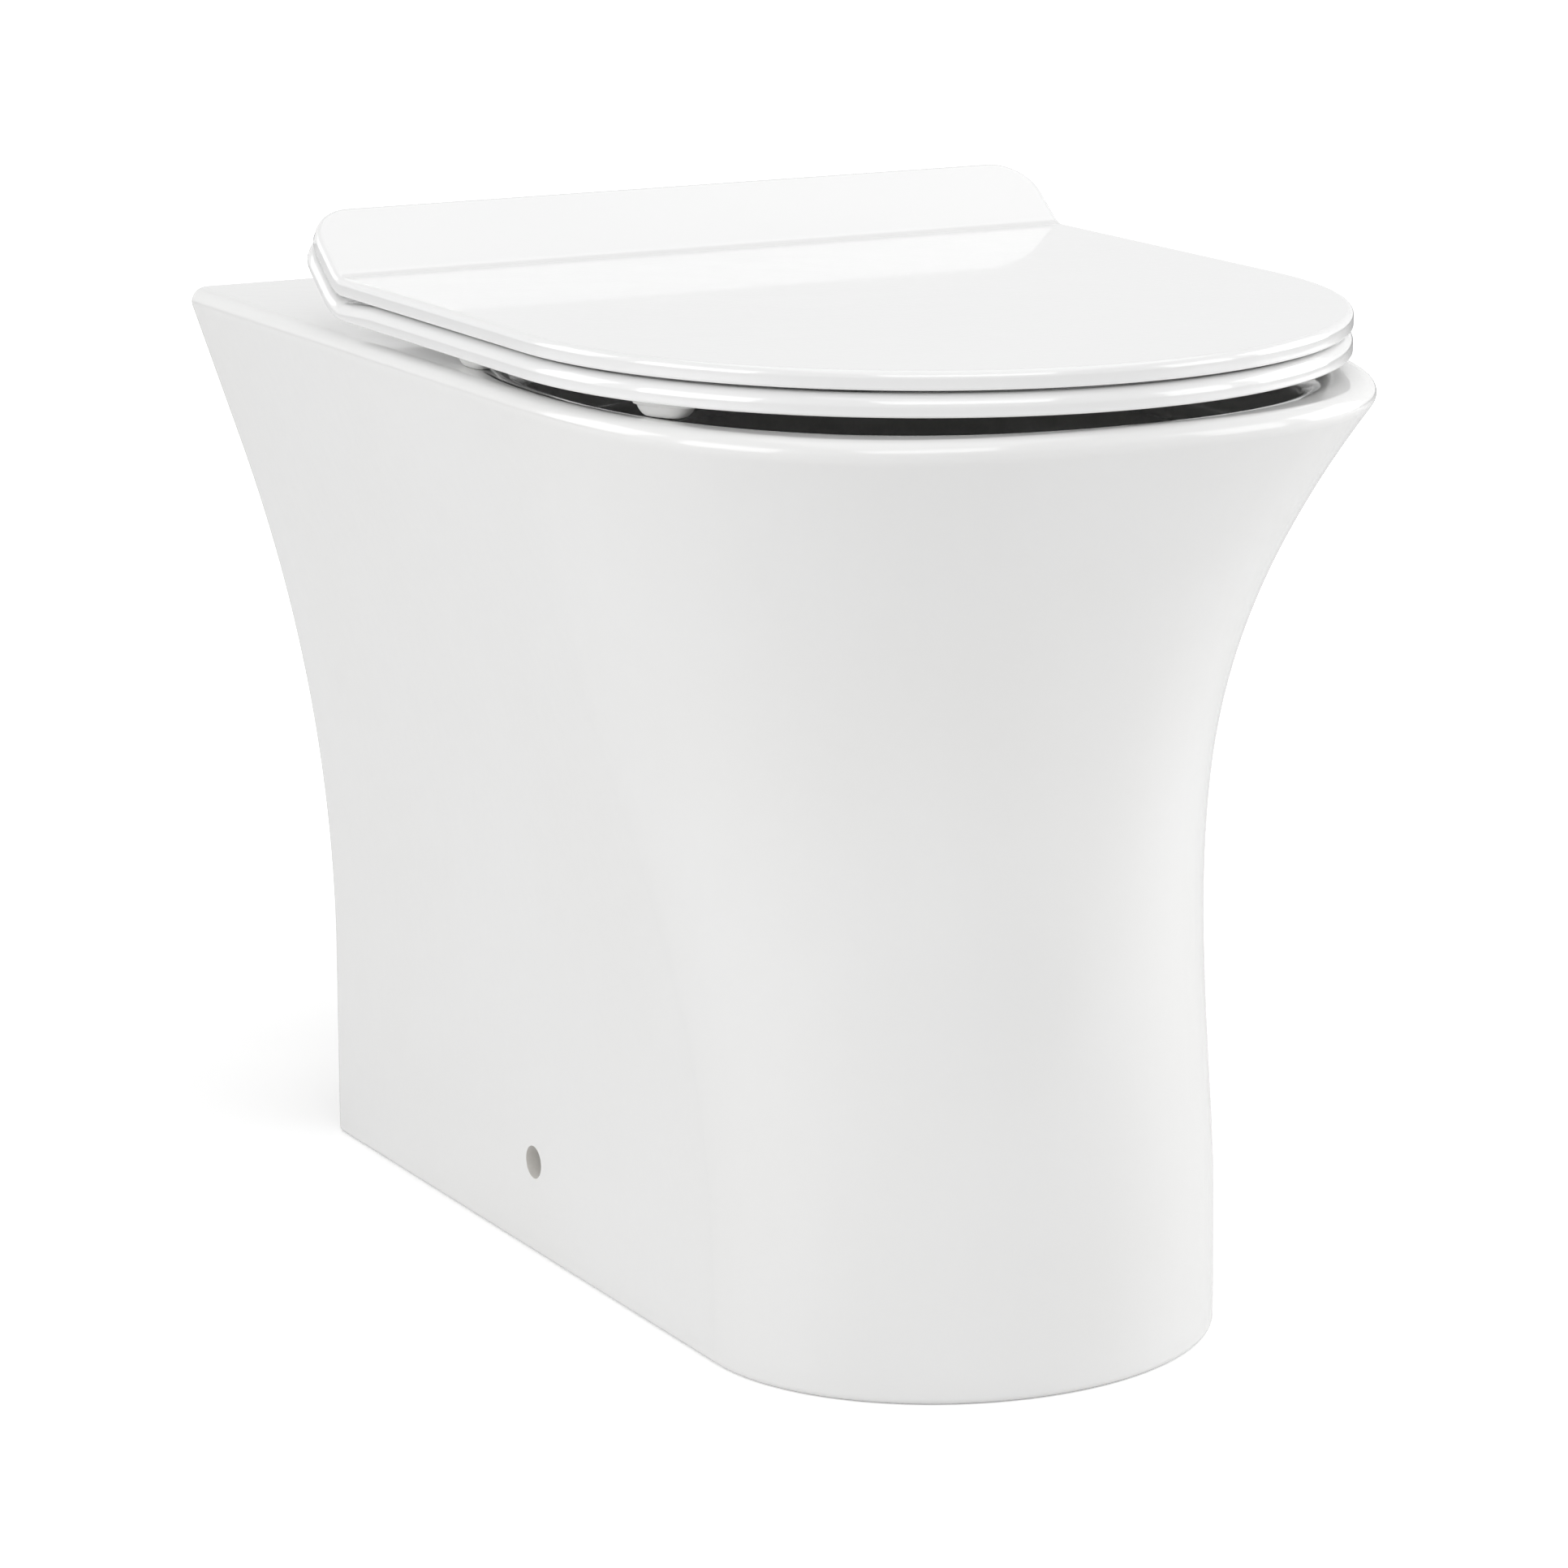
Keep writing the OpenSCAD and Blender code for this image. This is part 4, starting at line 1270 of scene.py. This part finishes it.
@dataclass
class Seat:
    """The seat ring and the lid, with their knuckles and buffers."""

    lid: Plate = Plate("lid", 0.0076, 0.0)
    ring: Plate = Plate("seat_ring", 0.0075, 0.0105, edge_top=0.005)
    hole: float = 0.118
    hole_back: float = 0.207
    hole_corner: float = 0.084
    hole_counts: Counts = (4, 22, 8, 48)
    inner_edge: float = 0.003
    border: float = 0.009
    border_rise: float = 0.0015
    border_slope: float = 0.0025
    border_fade: float = 0.025
    dish: float = 0.0024
    dish_border: float = 0.016
    dish_corner: float = 0.01
    dish_edge: float = 0.0015
    knuckle_edge: float = 0.0006
    lug_inset: float = 0.0003
    lug_slim: float = 0.001
    lug_edge: float = 0.0008
    lug_lap: float = 0.001
    notch: float = 0.001
    notch_front: float = 0.149
    notch_heights: tuple[float, float] = (0.4, 0.46)
    notch_edge: float = 0.002
    buffer_places: tuple = ((0.149, 0.404, 62.0), (0.16, 0.262, 90.0))
    buffer_form: tuple = (
        (0.0, 0.0145, 0.0075),
        (0.0003, 0.0168, 0.0092),
        (0.001, 0.019, 0.0104),
        (0.0021, 0.0213, 0.0112),
        (0.0034, 0.0232, 0.0115),
        (0.0044, 0.0242, 0.0116),
        (0.0046, 0.0276, 0.012),
        (0.0049, 0.028, 0.012),
        (0.007, 0.028, 0.012),
    )
    buffer_power: float = 0.6
    rest_gap: float = 0.00005
    lid_buffer: float = 0.006
    lid_buffer_foot: float = 0.8
    lid_buffer_chamfer: float = 0.0012
    lid_buffer_edge: float = 0.0004
    lid_buffer_turns: tuple = (48.0, 4.0)

    def hole_outline(self, z: float, grow: float = 0.0) -> Loop:
        """The seat's opening on the flat plate at a height, pushed out, with as many points as the plate."""
        back = self.ring.kick_back - self.hole_back + grow
        return self.ring.loop(z, self.hole + grow, back, self.hole_corner + grow, self.hole_counts)

    def lifted(self, outline: Sequence[Vector]) -> Loop:
        """The outline raised to the border's top, with no rise where the plate bends up."""
        rises = [self.border_rise * ease(clamped(-p.y / self.border_fade)) for p in outline]
        return [p + Vector((0, 0, rise)) for p, rise in zip(outline, rises)]

    def ring_levels(self) -> list[Loop]:
        """The ring's section as outlines, from the top of its opening outwards, round and back inside.

        Returns:
            The outlines, the last of which meets the first.
        """
        plate = self.ring
        high, low = -plate.drop, -plate.drop - plate.thickness
        curve, bend = rounding(7, plate.edge_top), rounding(4, plate.edge_low)
        levels = [plate.outline(high, self.border + self.border_slope)]
        levels.append(self.lifted(plate.outline(high, self.border)))
        levels += [self.lifted(plate.outline(high - down, inset)) for down, inset in curve]
        levels += [plate.outline(low + up, inset) for inset, up in bend]
        levels += [self.hole_outline(low + up, grow) for up, grow in bend]
        levels += [self.hole_outline(high - down, grow) for grow, down in rounding(7, self.inner_edge)]
        return [*levels, levels[0]]

    def add_knuckle(self, made: Solid, plate: Plate, side: Side, start: float, lap: float) -> None:
        """Adds a hinge barrel with the lug that carries it, and bores it.

        Args:
            made: The ring or the lid.
            plate: Its plate.
            side: The side that the knuckle lies on.
            start: Distance of its inner end from the middle.
            lap: How far the lug runs into the plate.
        """
        low, high = span(side, start, start + AXIS.knuckle)
        length = high - low
        barrel = turned(straight(AXIS.barrel, 0, length))
        soften(barrel, self.knuckle_edge)
        run, rise = plate.kick_back - AXIS.back, AXIS.z - plate.top - plate.kick_bend
        drop = run * math.sin(plate.kick_angle) - rise * math.cos(plate.kick_angle) - plate.kick_bend
        reach = drop - plate.drop - plate.thickness + lap
        wide = AXIS.barrel - self.lug_slim
        lug = block(Vector((self.lug_inset, -wide, 0)), Vector((length - self.lug_inset, wide, reach)))
        bevel(lug, upright(lug, reach / 2), self.lug_edge, 3)
        place = Matrix.Translation(at(low, AXIS.back, AXIS.z)) @ Matrix.Rotation(plate.kick_angle, 4, "X")
        bore = turned(straight(AXIS.damper + AXIS.turn_gap, 0, length + 2 * PAST), start=BORE_START)
        knuckle = Solid("knuckle", moved(barrel, AXIS.place(low)), THERMOSET)
        made.act(Cut.ADD, knuckle.act(Cut.ADD, Solid("lug", moved(lug, place), THERMOSET)))
        made.act(Cut.TAKE, Solid("bore", moved(bore, AXIS.place(low - PAST)), THERMOSET))

    def build_ring(self) -> None:
        """Builds the seat ring."""
        plate = self.ring
        made = Solid(plate.name, plate.bend(loft(self.ring_levels(), capped=False)), THERMOSET)
        inner, outer = AXIS.inner - AXIS.side_gap, AXIS.outer + 2 * AXIS.side_gap
        floor, ceiling = self.notch_heights
        for side in Side:
            low, high = span(side, inner - self.notch, outer + AXIS.knuckle)
            slot = block(at(low, self.notch_front, floor), at(high, 0.0, ceiling), self.notch_edge)
            made.act(Cut.TAKE, Solid("notch", slot, THERMOSET))
            self.add_knuckle(made, plate, side, inner - AXIS.knuckle, plate.thickness - self.lug_lap)
        made.piece("seat", plate.name)

    def build_lid(self) -> None:
        """Builds the lid, with its dished underside."""
        plate = self.lid
        made = Solid(plate.name, plate.bend(plate.whole()), THERMOSET)
        radius, back = plate.half - self.dish_border, plate.kick_back + self.dish_border
        points = [at(0, back, 0)]
        points += [at(radius - across, back + along, 0) for along, across in rounding(6, self.dish_corner)]
        points += [at(radius * math.cos(a), plate.nose + radius * math.sin(a), 0) for a in quarter(40)]
        points[-1].x = 0.0
        low = plate.top - plate.thickness
        high = low + self.dish
        bm = loft([[p + Vector((0, 0, z)) for p in mirrored(points)] for z in (low - PAST, high)])
        bevel(bm, flat(bm, high), self.dish_edge, 4)
        made.act(Cut.TAKE, Solid("dish", bm, THERMOSET))
        for side in Side:
            self.add_knuckle(made, plate, side, AXIS.outer + AXIS.side_gap, self.lug_lap)
        made.piece("lid", plate.name)

    def wedge(self, side: Side, across: float, back: float, turn: float) -> Solid:
        """One wedge shaped buffer under the ring.

        Args:
            side: The side that it lies on.
            across: Its distance from the middle.
            back: Its distance from the wall.
            turn: How far it is turned, in degrees.

        Returns:
            The buffer.
        """
        levels = []
        for z, long, wide in self.buffer_form:
            points = []
            for angle in whole_turn(48):
                x = long / 2 * squared(math.cos(angle), self.buffer_power)
                points.append(Vector((x, wide / 2 * squared(math.sin(angle), self.buffer_power), z)))
            levels.append(points)
        turn_it = Matrix.Rotation(math.radians(turn) * side.value, 4, "Z")
        place = Matrix.Translation(at(side.value * across, back, RIM)) @ turn_it
        return Solid("seat_buffers", moved(loft(levels), place), SILICONE)

    def pad(self, side: Side, turn: float) -> Solid:
        """One round buffer under the lid.

        Args:
            side: The side that it lies on.
            turn: Its angle round the nose's centre, in degrees.

        Returns:
            The buffer.
        """
        tall = self.ring.drop - self.lid.thickness + self.dish - self.rest_gap
        wide = self.lid_buffer
        foot, shoulder = (wide * self.lid_buffer_foot, 0), (wide, self.lid_buffer_chamfer)
        bm = turned([(0, 0), foot, shoulder, (wide, tall), (0, tall)])
        soften(bm, self.lid_buffer_edge, least=math.radians(50))
        radius, angle = (self.hole + self.ring.half) / 2, math.radians(turn)
        back = self.lid.nose + radius * math.sin(angle)
        spot = at(side.value * radius * math.cos(angle), back, self.ring.top - self.ring.drop + self.rest_gap)
        return Solid("lid_buffers", moved(bm, Matrix.Translation(spot)), SILICONE)

    def build(self) -> None:
        """Builds ring, lid and buffers."""
        self.build_ring()
        self.build_lid()
        wedges = [self.wedge(side, *place) for side in Side for place in self.buffer_places]
        wedges[0].act(Cut.ADD, *wedges[1:]).piece("seat", "seat_buffers")
        pads = [self.pad(side, turn) for side in Side for turn in self.lid_buffer_turns]
        pads[0].act(Cut.ADD, *pads[1:]).piece("lid", "lid_buffers")


@dataclass
class Hinges:
    """The two hinges on the deck, with their fixings, buttons, cartridges, pins and bushes."""

    stem: float = 0.007
    stem_edge: float = 0.0008
    pin: float = 0.003
    pin_gap: float = 0.00025
    bar_edge: float = 0.0003
    base: float = 0.019
    base_thick: float = 0.003
    base_edge: float = 0.001
    gasket: float = 0.001
    hole: float = 0.00725
    screw: float = 0.003
    sink_gap: float = 0.0001
    thread: float = 0.001
    thread_depth: float = 0.0004
    plain_shank: float = 0.008
    cross_wide: float = 0.0004
    cross_long: float = 0.9
    cross_deep: float = 0.0022
    cross_turn: float = 0.4
    foot_width: float = 0.026
    foot_height: float = 0.006
    foot_front: float = 0.148
    foot_back: float = 0.128
    foot_corner: float = 0.0025
    edge: float = 0.0006
    sleeve: float = 0.024
    sleeve_bore: float = 0.00315
    rib_pitch: float = 0.0046
    rib_form: tuple = ((0.0008, 0.0), (0.00015, 0.0008), (0.00015, 0.0026), (0.0008, 0.0032))
    nut_height: float = 0.005
    nut_radius: float = 0.00575
    nut_chamfer: float = 0.0007
    tail: float = 0.003
    button: float = 0.009
    button_height: float = 0.004
    button_proud: float = 0.003
    button_travel: float = 0.0025
    groove_wide: float = 0.0005
    groove: float = 0.0004
    pocket_floor: float = 0.0012
    pocket_wall: float = 0.0025
    slide_gap: float = 0.0003

    @property
    def foot_z(self) -> float:
        """Height of the base plates' top."""
        return RIM + self.gasket + self.base_thick

    def spot(self, side: Side, z: float) -> Matrix:
        """The move to a hinge's fixing hole at height z."""
        return Matrix.Translation(at(side.value * AXIS.gap / 2, FIXING_BACK, z))

    def bar(
        self,
        name: str,
        profile: Profile,
        side: Side,
        finish: Finish,
        closed: bool = False,
        start: float = 0.0,
    ) -> Solid:
        """A turned part on the hinge axis.

        Args:
            name: The part's name.
            profile: Radius and distance from the middle of the pan.
            side: The side that it lies on.
            finish: Its finish.
            closed: Whether the profile is a ring's section.
            start: The angle of its first edge.

        Returns:
            The part.
        """
        bm = turned(profile, closed=closed, faces=40, start=start)
        soften(bm, self.bar_edge, segments=2)
        turn = ALONG_X if side is Side.RIGHT else ALONG_X.inverted()
        return Solid(name, moved(bm, Matrix.Translation(at(0, AXIS.back, AXIS.z)) @ turn), finish)

    def build_base(self, side: Side) -> None:
        """Builds the base plate of one hinge.

        Args:
            side: The side.
        """
        thick, sink, bore = self.base_thick, 2 * self.screw, self.screw + self.slide_gap
        profile = [(bore, 0.0), (self.base, 0.0), (self.base, thick), (sink + self.sink_gap, thick)]
        bm = turned([*profile, (bore, thick - sink + bore)], closed=True, faces=96)
        rim = [e for e in flat(bm, thick) if all(v.co.xy.length > self.base - MERGE for v in e.verts)]
        bevel(bm, rim, self.base_edge, 4)
        name = f"hinge_base_{side.word}"
        Solid(name, moved(bm, self.spot(side, RIM + self.gasket)), STAINLESS).piece("root", name)

    def build_post(self, side: Side) -> None:
        """Builds the post of one hinge.

        Args:
            side: The side.
        """
        x, half, slim = side.value * AXIS.gap / 2, self.foot_width / 2, AXIS.post / 2 - self.slide_gap
        low = at(x - half, self.foot_front, self.foot_z)
        foot = block(low, at(x + half, self.foot_back, self.foot_z + self.foot_height))
        bevel(foot, upright(foot, self.foot_height / 2), self.foot_corner, 5)
        soften(foot, self.edge, least=math.radians(60))
        name = f"hinge_post_{side.word}"
        made = Solid(name, foot, CHROME)
        low = at(x - slim, self.foot_back + self.stem, self.foot_z + PAST)
        stem = block(low, at(x + slim, self.foot_back, AXIS.z), self.stem_edge)
        barrel = self.bar("barrel", straight(AXIS.barrel, AXIS.inner, AXIS.outer), side, CHROME)
        made.act(Cut.ADD, Solid("stem", stem, CHROME), barrel)
        bore = straight(self.pin + AXIS.turn_gap, AXIS.inner - PAST, AXIS.outer + PAST)
        made.act(Cut.TAKE, self.bar("bore", bore, side, STAINLESS, start=BORE_START))
        edge, gap = AXIS.gap / 2 + half, self.slide_gap
        low, high = span(side, edge - self.button - self.button_travel - gap, edge + PAST)
        floor = self.foot_z + self.pocket_floor
        pocket = block(
            at(low, self.foot_front - self.pocket_wall, floor - gap),
            at(high, self.foot_back + self.pocket_wall, floor + self.button_height + gap),
        )
        made.act(Cut.TAKE, Solid("pocket", pocket, STAINLESS))
        made.piece("root", name)

    def build_button(self, side: Side) -> None:
        """Builds the button in the foot of one post.

        Args:
            side: The side.
        """
        edge = AXIS.gap / 2 + self.foot_width / 2
        floor = self.foot_z + self.pocket_floor
        ceiling = floor + self.button_height
        margin = self.pocket_wall + self.slide_gap
        front, back = self.foot_front - margin, self.foot_back + margin
        low, high = span(side, edge - self.button, edge + self.button_proud)
        name = f"release_button_{side.word}"
        cap = Solid(name, block(at(low, front, floor), at(high, back, ceiling), self.edge), GREY_BUTTON)
        end = side.value * (edge + self.button_proud)
        for share in (0.3, 0.5, 0.7):
            y = front + (back - front) * share
            groove = block(
                at(end - self.groove, y + self.groove_wide, floor - PAST),
                at(end + self.groove, y - self.groove_wide, ceiling + PAST),
            )
            cap.act(Cut.TAKE, Solid("groove", groove, GREY_BUTTON))
        cap.piece(f"{side.word}_button", name)

    def build_damper(self, name: str, side: Side, start: float, end: float, journal: float) -> None:
        """Builds a damper cartridge: a body with three grooves and a journal.

        Args:
            name: Its name.
            side: The side that it lies on.
            start: Where the body begins, near the post.
            end: Where the body ends.
            journal: Where the journal ends, inside the post.
        """
        wide, deep = AXIS.damper, AXIS.damper - self.groove
        half = math.copysign(self.groove, end - start)
        profile = [(0, journal), (self.pin, journal), (self.pin, start), (wide, start)]
        for share in (0.25, 0.32, 0.9):
            x = start + (end - start) * share
            profile += [(wide, x - half), (deep, x - half), (deep, x + half), (wide, x + half)]
        profile += [(wide, end), (0, end)]
        self.bar(name, profile, side, DAMPER_GREY).piece("root", name)

    def build_rods(self) -> None:
        """Builds the two damper cartridges, the two plain pins and their bushes."""
        middle, tip, gap = AXIS.gap / 2, self.pin_gap, AXIS.side_gap
        inner, outer = AXIS.inner - gap, AXIS.outer + gap
        seat_end, lid_end = inner - AXIS.knuckle, outer + AXIS.knuckle
        self.build_damper("lid_damper", Side.LEFT, outer - gap / 2, lid_end, middle + tip)
        self.build_damper("seat_damper", Side.RIGHT, inner + gap / 2, seat_end, middle - tip)
        for name, side, first, last in (
            ("lid_pivot_pin", Side.RIGHT, middle + tip, lid_end),
            ("seat_pivot_pin", Side.LEFT, seat_end, middle - tip),
        ):
            self.bar(name, straight(self.pin, first, last), side, STAINLESS).piece("root", name)
        bore, wide = self.pin + AXIS.turn_gap, AXIS.damper
        for name, body, side, first, last in (
            ("lid_bush", "lid", Side.RIGHT, outer, lid_end),
            ("seat_bush", "seat", Side.LEFT, seat_end, inner),
        ):
            profile = [(bore, first), (wide, first), (wide, last), (bore, last)]
            self.bar(name, profile, side, ACETAL, closed=True).piece(body, name)

    def screw_profile(self) -> Pairs:
        """The profile of a countersunk screw with its thread, from its tip to its head.

        Returns:
            Radius and height of each point.
        """
        reach = self.base_thick + self.gasket + self.sleeve + self.nut_height + self.tail
        sink, root, pitch = 2 * self.screw, self.screw - self.thread_depth, self.thread
        profile = [(0, -reach), (root - self.sink_gap, -reach)]
        for n in range(int((reach - self.plain_shank) / pitch)):
            z = -reach + 2 * self.sink_gap + pitch * n
            profile += [(root, z + pitch * 0.2), (self.screw, z + pitch * 0.5), (root, z + pitch * 0.8)]
        return [*profile, (self.screw, -sink + self.screw), (sink, 0), (0, 0)]

    def sleeve_profile(self) -> Pairs:
        """The section of a ribbed rubber sleeve, from its bore outwards and back.

        Returns:
            Radius and height of each point.
        """
        bore, core = self.sleeve_bore, self.hole - self.rib_form[0][0]
        profile = [(bore, 0), (core, 0)]
        for n in range(5):
            start = 0.001 + n * self.rib_pitch
            profile += [(self.hole - inset, start + up) for inset, up in self.rib_form]
        return [*profile, (core, self.sleeve), (bore, self.sleeve)]

    def screws(self, side: Side) -> Solid:
        """One fixing screw with the cross in its head.

        Args:
            side: The side.

        Returns:
            The screw.
        """
        bm = turned(self.screw_profile(), faces=40)
        made = Solid("screw", moved(bm, self.spot(side, self.foot_z)), STAINLESS)
        wide, long = self.cross_wide, self.screw * self.cross_long
        for arm in range(2):
            cross = block(Vector((-long, -wide, -self.cross_deep)), Vector((long, wide, PAST)))
            turn = self.spot(side, self.foot_z) @ Matrix.Rotation(math.pi / 2 * arm + self.cross_turn, 4, "Z")
            made.act(Cut.TAKE, Solid("cross", moved(cross, turn), STAINLESS))
        return made

    def sleeves(self, side: Side) -> Solid:
        """One rubber sleeve in a fixing hole."""
        bm = turned(self.sleeve_profile(), closed=True, faces=40)
        return Solid("sleeve", moved(bm, self.spot(side, RIM - self.sleeve)), BLACK_RUBBER)

    def gaskets(self, side: Side) -> Solid:
        """One gasket under a base plate.

        Args:
            side: The side.

        Returns:
            The gasket.
        """
        bore, wide, tall = self.screw + self.slide_gap, self.base - self.base_edge, self.gasket
        bm = turned([(bore, 0), (wide, 0), (wide, tall), (bore, tall)], closed=True, faces=72)
        return Solid("gasket", moved(bm, self.spot(side, RIM)), BLACK_RUBBER)

    def nuts(self, side: Side) -> Solid:
        """One chamfered hexagon nut.

        Args:
            side: The side.

        Returns:
            The nut.
        """
        wide, tall, chamfer = self.nut_radius, self.nut_height, self.nut_chamfer
        points = [Vector((wide * math.cos(a), wide * math.sin(a), 0)) for a in whole_turn(6)]
        body = Solid("nut", loft([points, [p + Vector((0, 0, tall)) for p in points]]), STAINLESS)
        flat, past = wide * math.cos(math.pi / 6), wide + 0.0002
        cone = [(0, 0), (flat, 0), (past, chamfer), (past, tall - chamfer), (flat, tall), (0, tall)]
        body.act(Cut.SHARE, Solid("chamfer", turned(cone), STAINLESS))
        bore = straight(self.screw + 0.00002, -PAST, tall + PAST)
        body.act(Cut.TAKE, Solid("bore", turned(bore, faces=40), STAINLESS))
        body.thing.data.transform(self.spot(side, RIM - self.sleeve - tall))
        return body

    def build(self) -> None:
        """Builds both hinges, then the rods, then each kind of fixing as one piece."""
        for side in Side:
            self.build_base(side)
            self.build_post(side)
            self.build_button(side)
        self.build_rods()
        for name, make in (
            ("fixing_screws", self.screws),
            ("fixing_sleeves", self.sleeves),
            ("base_gaskets", self.gaskets),
            ("fixing_nuts", self.nuts),
        ):
            left, right = (make(side) for side in Side)
            left.act(Cut.ADD, right).piece("root", name)


@dataclass
class FloorBrackets:
    """The two steel brackets inside the skirt, behind the side holes."""

    outer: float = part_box("floor_bracket_right")[1].x
    width: float = 0.044
    height: float = 0.062
    foot: float = 0.042
    thick: float = 0.005
    edge: float = 0.0005
    gusset_in: float = 0.004
    gusset_drop: float = 0.008
    side_hole: float = 0.0034
    floor_hole: float = 0.00425

    def build_one(self, side: Side) -> None:
        """Builds the bracket of one side.

        Args:
            side: The side.
        """
        half, thick = self.width / 2, self.thick
        foot = block(Vector((-self.foot, -half, 0)), Vector((0, half, thick)))
        plate = Solid("bracket", block(Vector((-thick, -half, 0)), Vector((0, half, self.height))), ZINC)
        plate.act(Cut.ADD, Solid("foot", foot, ZINC))
        top = self.height - self.gusset_drop
        section = [(-self.foot + self.gusset_in, 0), (0, 0), (0, top), (-thick, top)]
        for end in (-half, half - thick):
            levels = [[Vector((x, y, z)) for x, z in section] for y in (end, end + thick)]
            plate.act(Cut.ADD, Solid("gusset", loft(levels), ZINC))
        for radius, place in (
            (self.side_hole, Matrix.Translation((-thick, 0, SIDE_HOLE_HEIGHT)) @ ALONG_X),
            (self.floor_hole, Matrix.Translation((-(self.foot + thick) / 2, 0, 0))),
        ):
            bar = turned(straight(radius, -PAST, thick + PAST), faces=40)
            plate.act(Cut.TAKE, Solid("hole", moved(bar, place), ZINC))
        bm = bmesh.new()
        bm.from_mesh(plate.thing.data)
        bpy.data.objects.remove(plate.thing)
        bmesh.ops.remove_doubles(bm, verts=bm.verts[:], dist=MERGE)
        bmesh.ops.dissolve_limit(bm, angle_limit=math.radians(1), verts=bm.verts[:], edges=bm.edges[:])
        soften(bm, self.edge, segments=2)
        flip = Matrix.Scale(side.value, 4, (1, 0, 0))
        name = f"floor_bracket_{side.word}"
        place = Matrix.Translation(at(side.value * self.outer, SIDE_HOLE_BACK, 0)) @ flip
        Solid(name, moved(bm, place), ZINC).piece("root", name)

    def build(self) -> None:
        """Builds both brackets."""
        for side in Side:
            self.build_one(side)


@dataclass(frozen=True)
class Softbox:
    """A rectangular lamp that faces the middle of the object."""

    name: str
    place: tuple[float, float, float]
    width: float
    height: float
    power: float
    target: tuple[float, float, float] = (0.0, 0.0, 0.25)

    def build(self) -> None:
        """Adds the lamp."""
        lamp = bpy.data.lights.new(self.name, "AREA")
        lamp.shape = "RECTANGLE"
        lamp.size, lamp.size_y, lamp.energy = self.width, self.height, self.power
        thing = in_scene(self.name, lamp)
        thing.location = self.place
        thing.rotation_euler = (Vector(self.target) - Vector(self.place)).to_track_quat("-Z", "Y").to_euler()


@dataclass
class Studio:
    """The floor, the light and the camera."""

    floor_radius: float = 6.0
    floor_colour: Colour = (0.9, 0.9, 0.9)
    floor_lift: tuple[float, float] = (0.34, 1.0)
    floor_fade: tuple[float, float] = (0.35, 1.5)
    sky: float = 0.28
    mirrored_sky: float = 0.93
    lamps: tuple[Softbox, ...] = (
        Softbox("overhead", (0.2, -0.1, 2.3), 3.2, 2.0, 14.8),
        Softbox("front_top", (-0.6, -2.2, 2.0), 2.0, 1.2, 17.9),
        Softbox("left", (-2.6, -0.2, 1.0), 1.6, 1.6, 19.8),
        Softbox("left_back", (-2.0, 1.6, 1.2), 1.2, 1.6, 11.6),
        Softbox("right", (2.4, -0.3, 0.9), 1.6, 1.6, 24.6),
        Softbox("right_front", (1.9, -1.9, 0.9), 1.0, 1.6, 9.7),
    )
    camera_place: tuple[float, float, float] = (-1.1160, -1.9970, 0.7553)
    camera_turn: tuple[float, float, float] = (76.57, 0.0, -28.83)
    lens: float = 126.52
    shift: float = -0.0028

    def build_floor(self) -> None:
        """Adds the pale floor, which shows white to the camera but keeps the shadow."""
        bm = bmesh.new()
        bmesh.ops.create_circle(bm, cap_ends=True, segments=96, radius=self.floor_radius)
        mesh = bpy.data.meshes.new("floor")
        bm.to_mesh(mesh)
        bm.free()
        floor = in_scene("floor", mesh)
        material = bpy.data.materials.new("pale_floor")
        shader = Shader(material)
        cloth = shader.add("BsdfDiffuse", values={0: self.floor_colour})
        away = shader.add("VectorMath", {"operation": "LENGTH"}, {0: shader.place()}, output="Value")
        near, far = self.floor_lift
        lift = away.ramp(*self.floor_fade) * (far - near) + near
        glow = shader.add("Emission", values={0: (1.0, 1.0, 1.0), 1: lift})
        lifted = shader.add("AddShader", values={0: cloth, 1: glow})
        seen = shader.add("LightPath", output="Is Camera Ray")
        shown = shader.add("MixShader", values={0: seen, 1: cloth, 2: lifted})
        shader.add("OutputMaterial", values={0: shown})
        mesh.materials.append(material)

    def build_sky(self) -> None:
        """Sets a plain even sky that looks white where it is seen or mirrored."""
        world = bpy.data.worlds.new("sky")
        bpy.context.scene.world = world
        shader = Shader(world)
        paths = shader.add("LightPath").source.node.outputs
        seen = Socket(shader, paths["Is Camera Ray"]).most(Socket(shader, paths["Is Transmission Ray"]))
        mirrored_share = Socket(shader, paths["Is Glossy Ray"]) * (self.mirrored_sky - self.sky)
        strength = (seen * (1.0 - self.sky)).most(mirrored_share) + self.sky
        sky = shader.add("Background", values={0: (1.0, 1.0, 1.0), 1: strength})
        shader.add("OutputWorld", values={0: sky})

    def build_camera(self) -> None:
        """Adds the camera at the photograph's place."""
        data = bpy.data.cameras.new("camera")
        data.lens, data.sensor_width, data.shift_y = self.lens, 36.0, self.shift
        camera = in_scene("camera", data)
        camera.location = self.camera_place
        camera.rotation_euler = [math.radians(a) for a in self.camera_turn]
        bpy.context.scene.camera = camera

    def build(self) -> None:
        """Builds the studio."""
        bpy.context.scene.view_settings.view_transform = "Standard"
        self.build_floor()
        self.build_sky()
        self.build_camera()
        for lamp in self.lamps:
            lamp.build()


def main() -> None:
    """Builds the studio and the object in order."""
    logging.basicConfig(level=logging.INFO, format="%(name)s: %(message)s")
    Studio().build()
    Pan().build()
    Seat().build()
    Hinges().build()
    FloorBrackets().build()


if __name__ == "__main__":
    main()
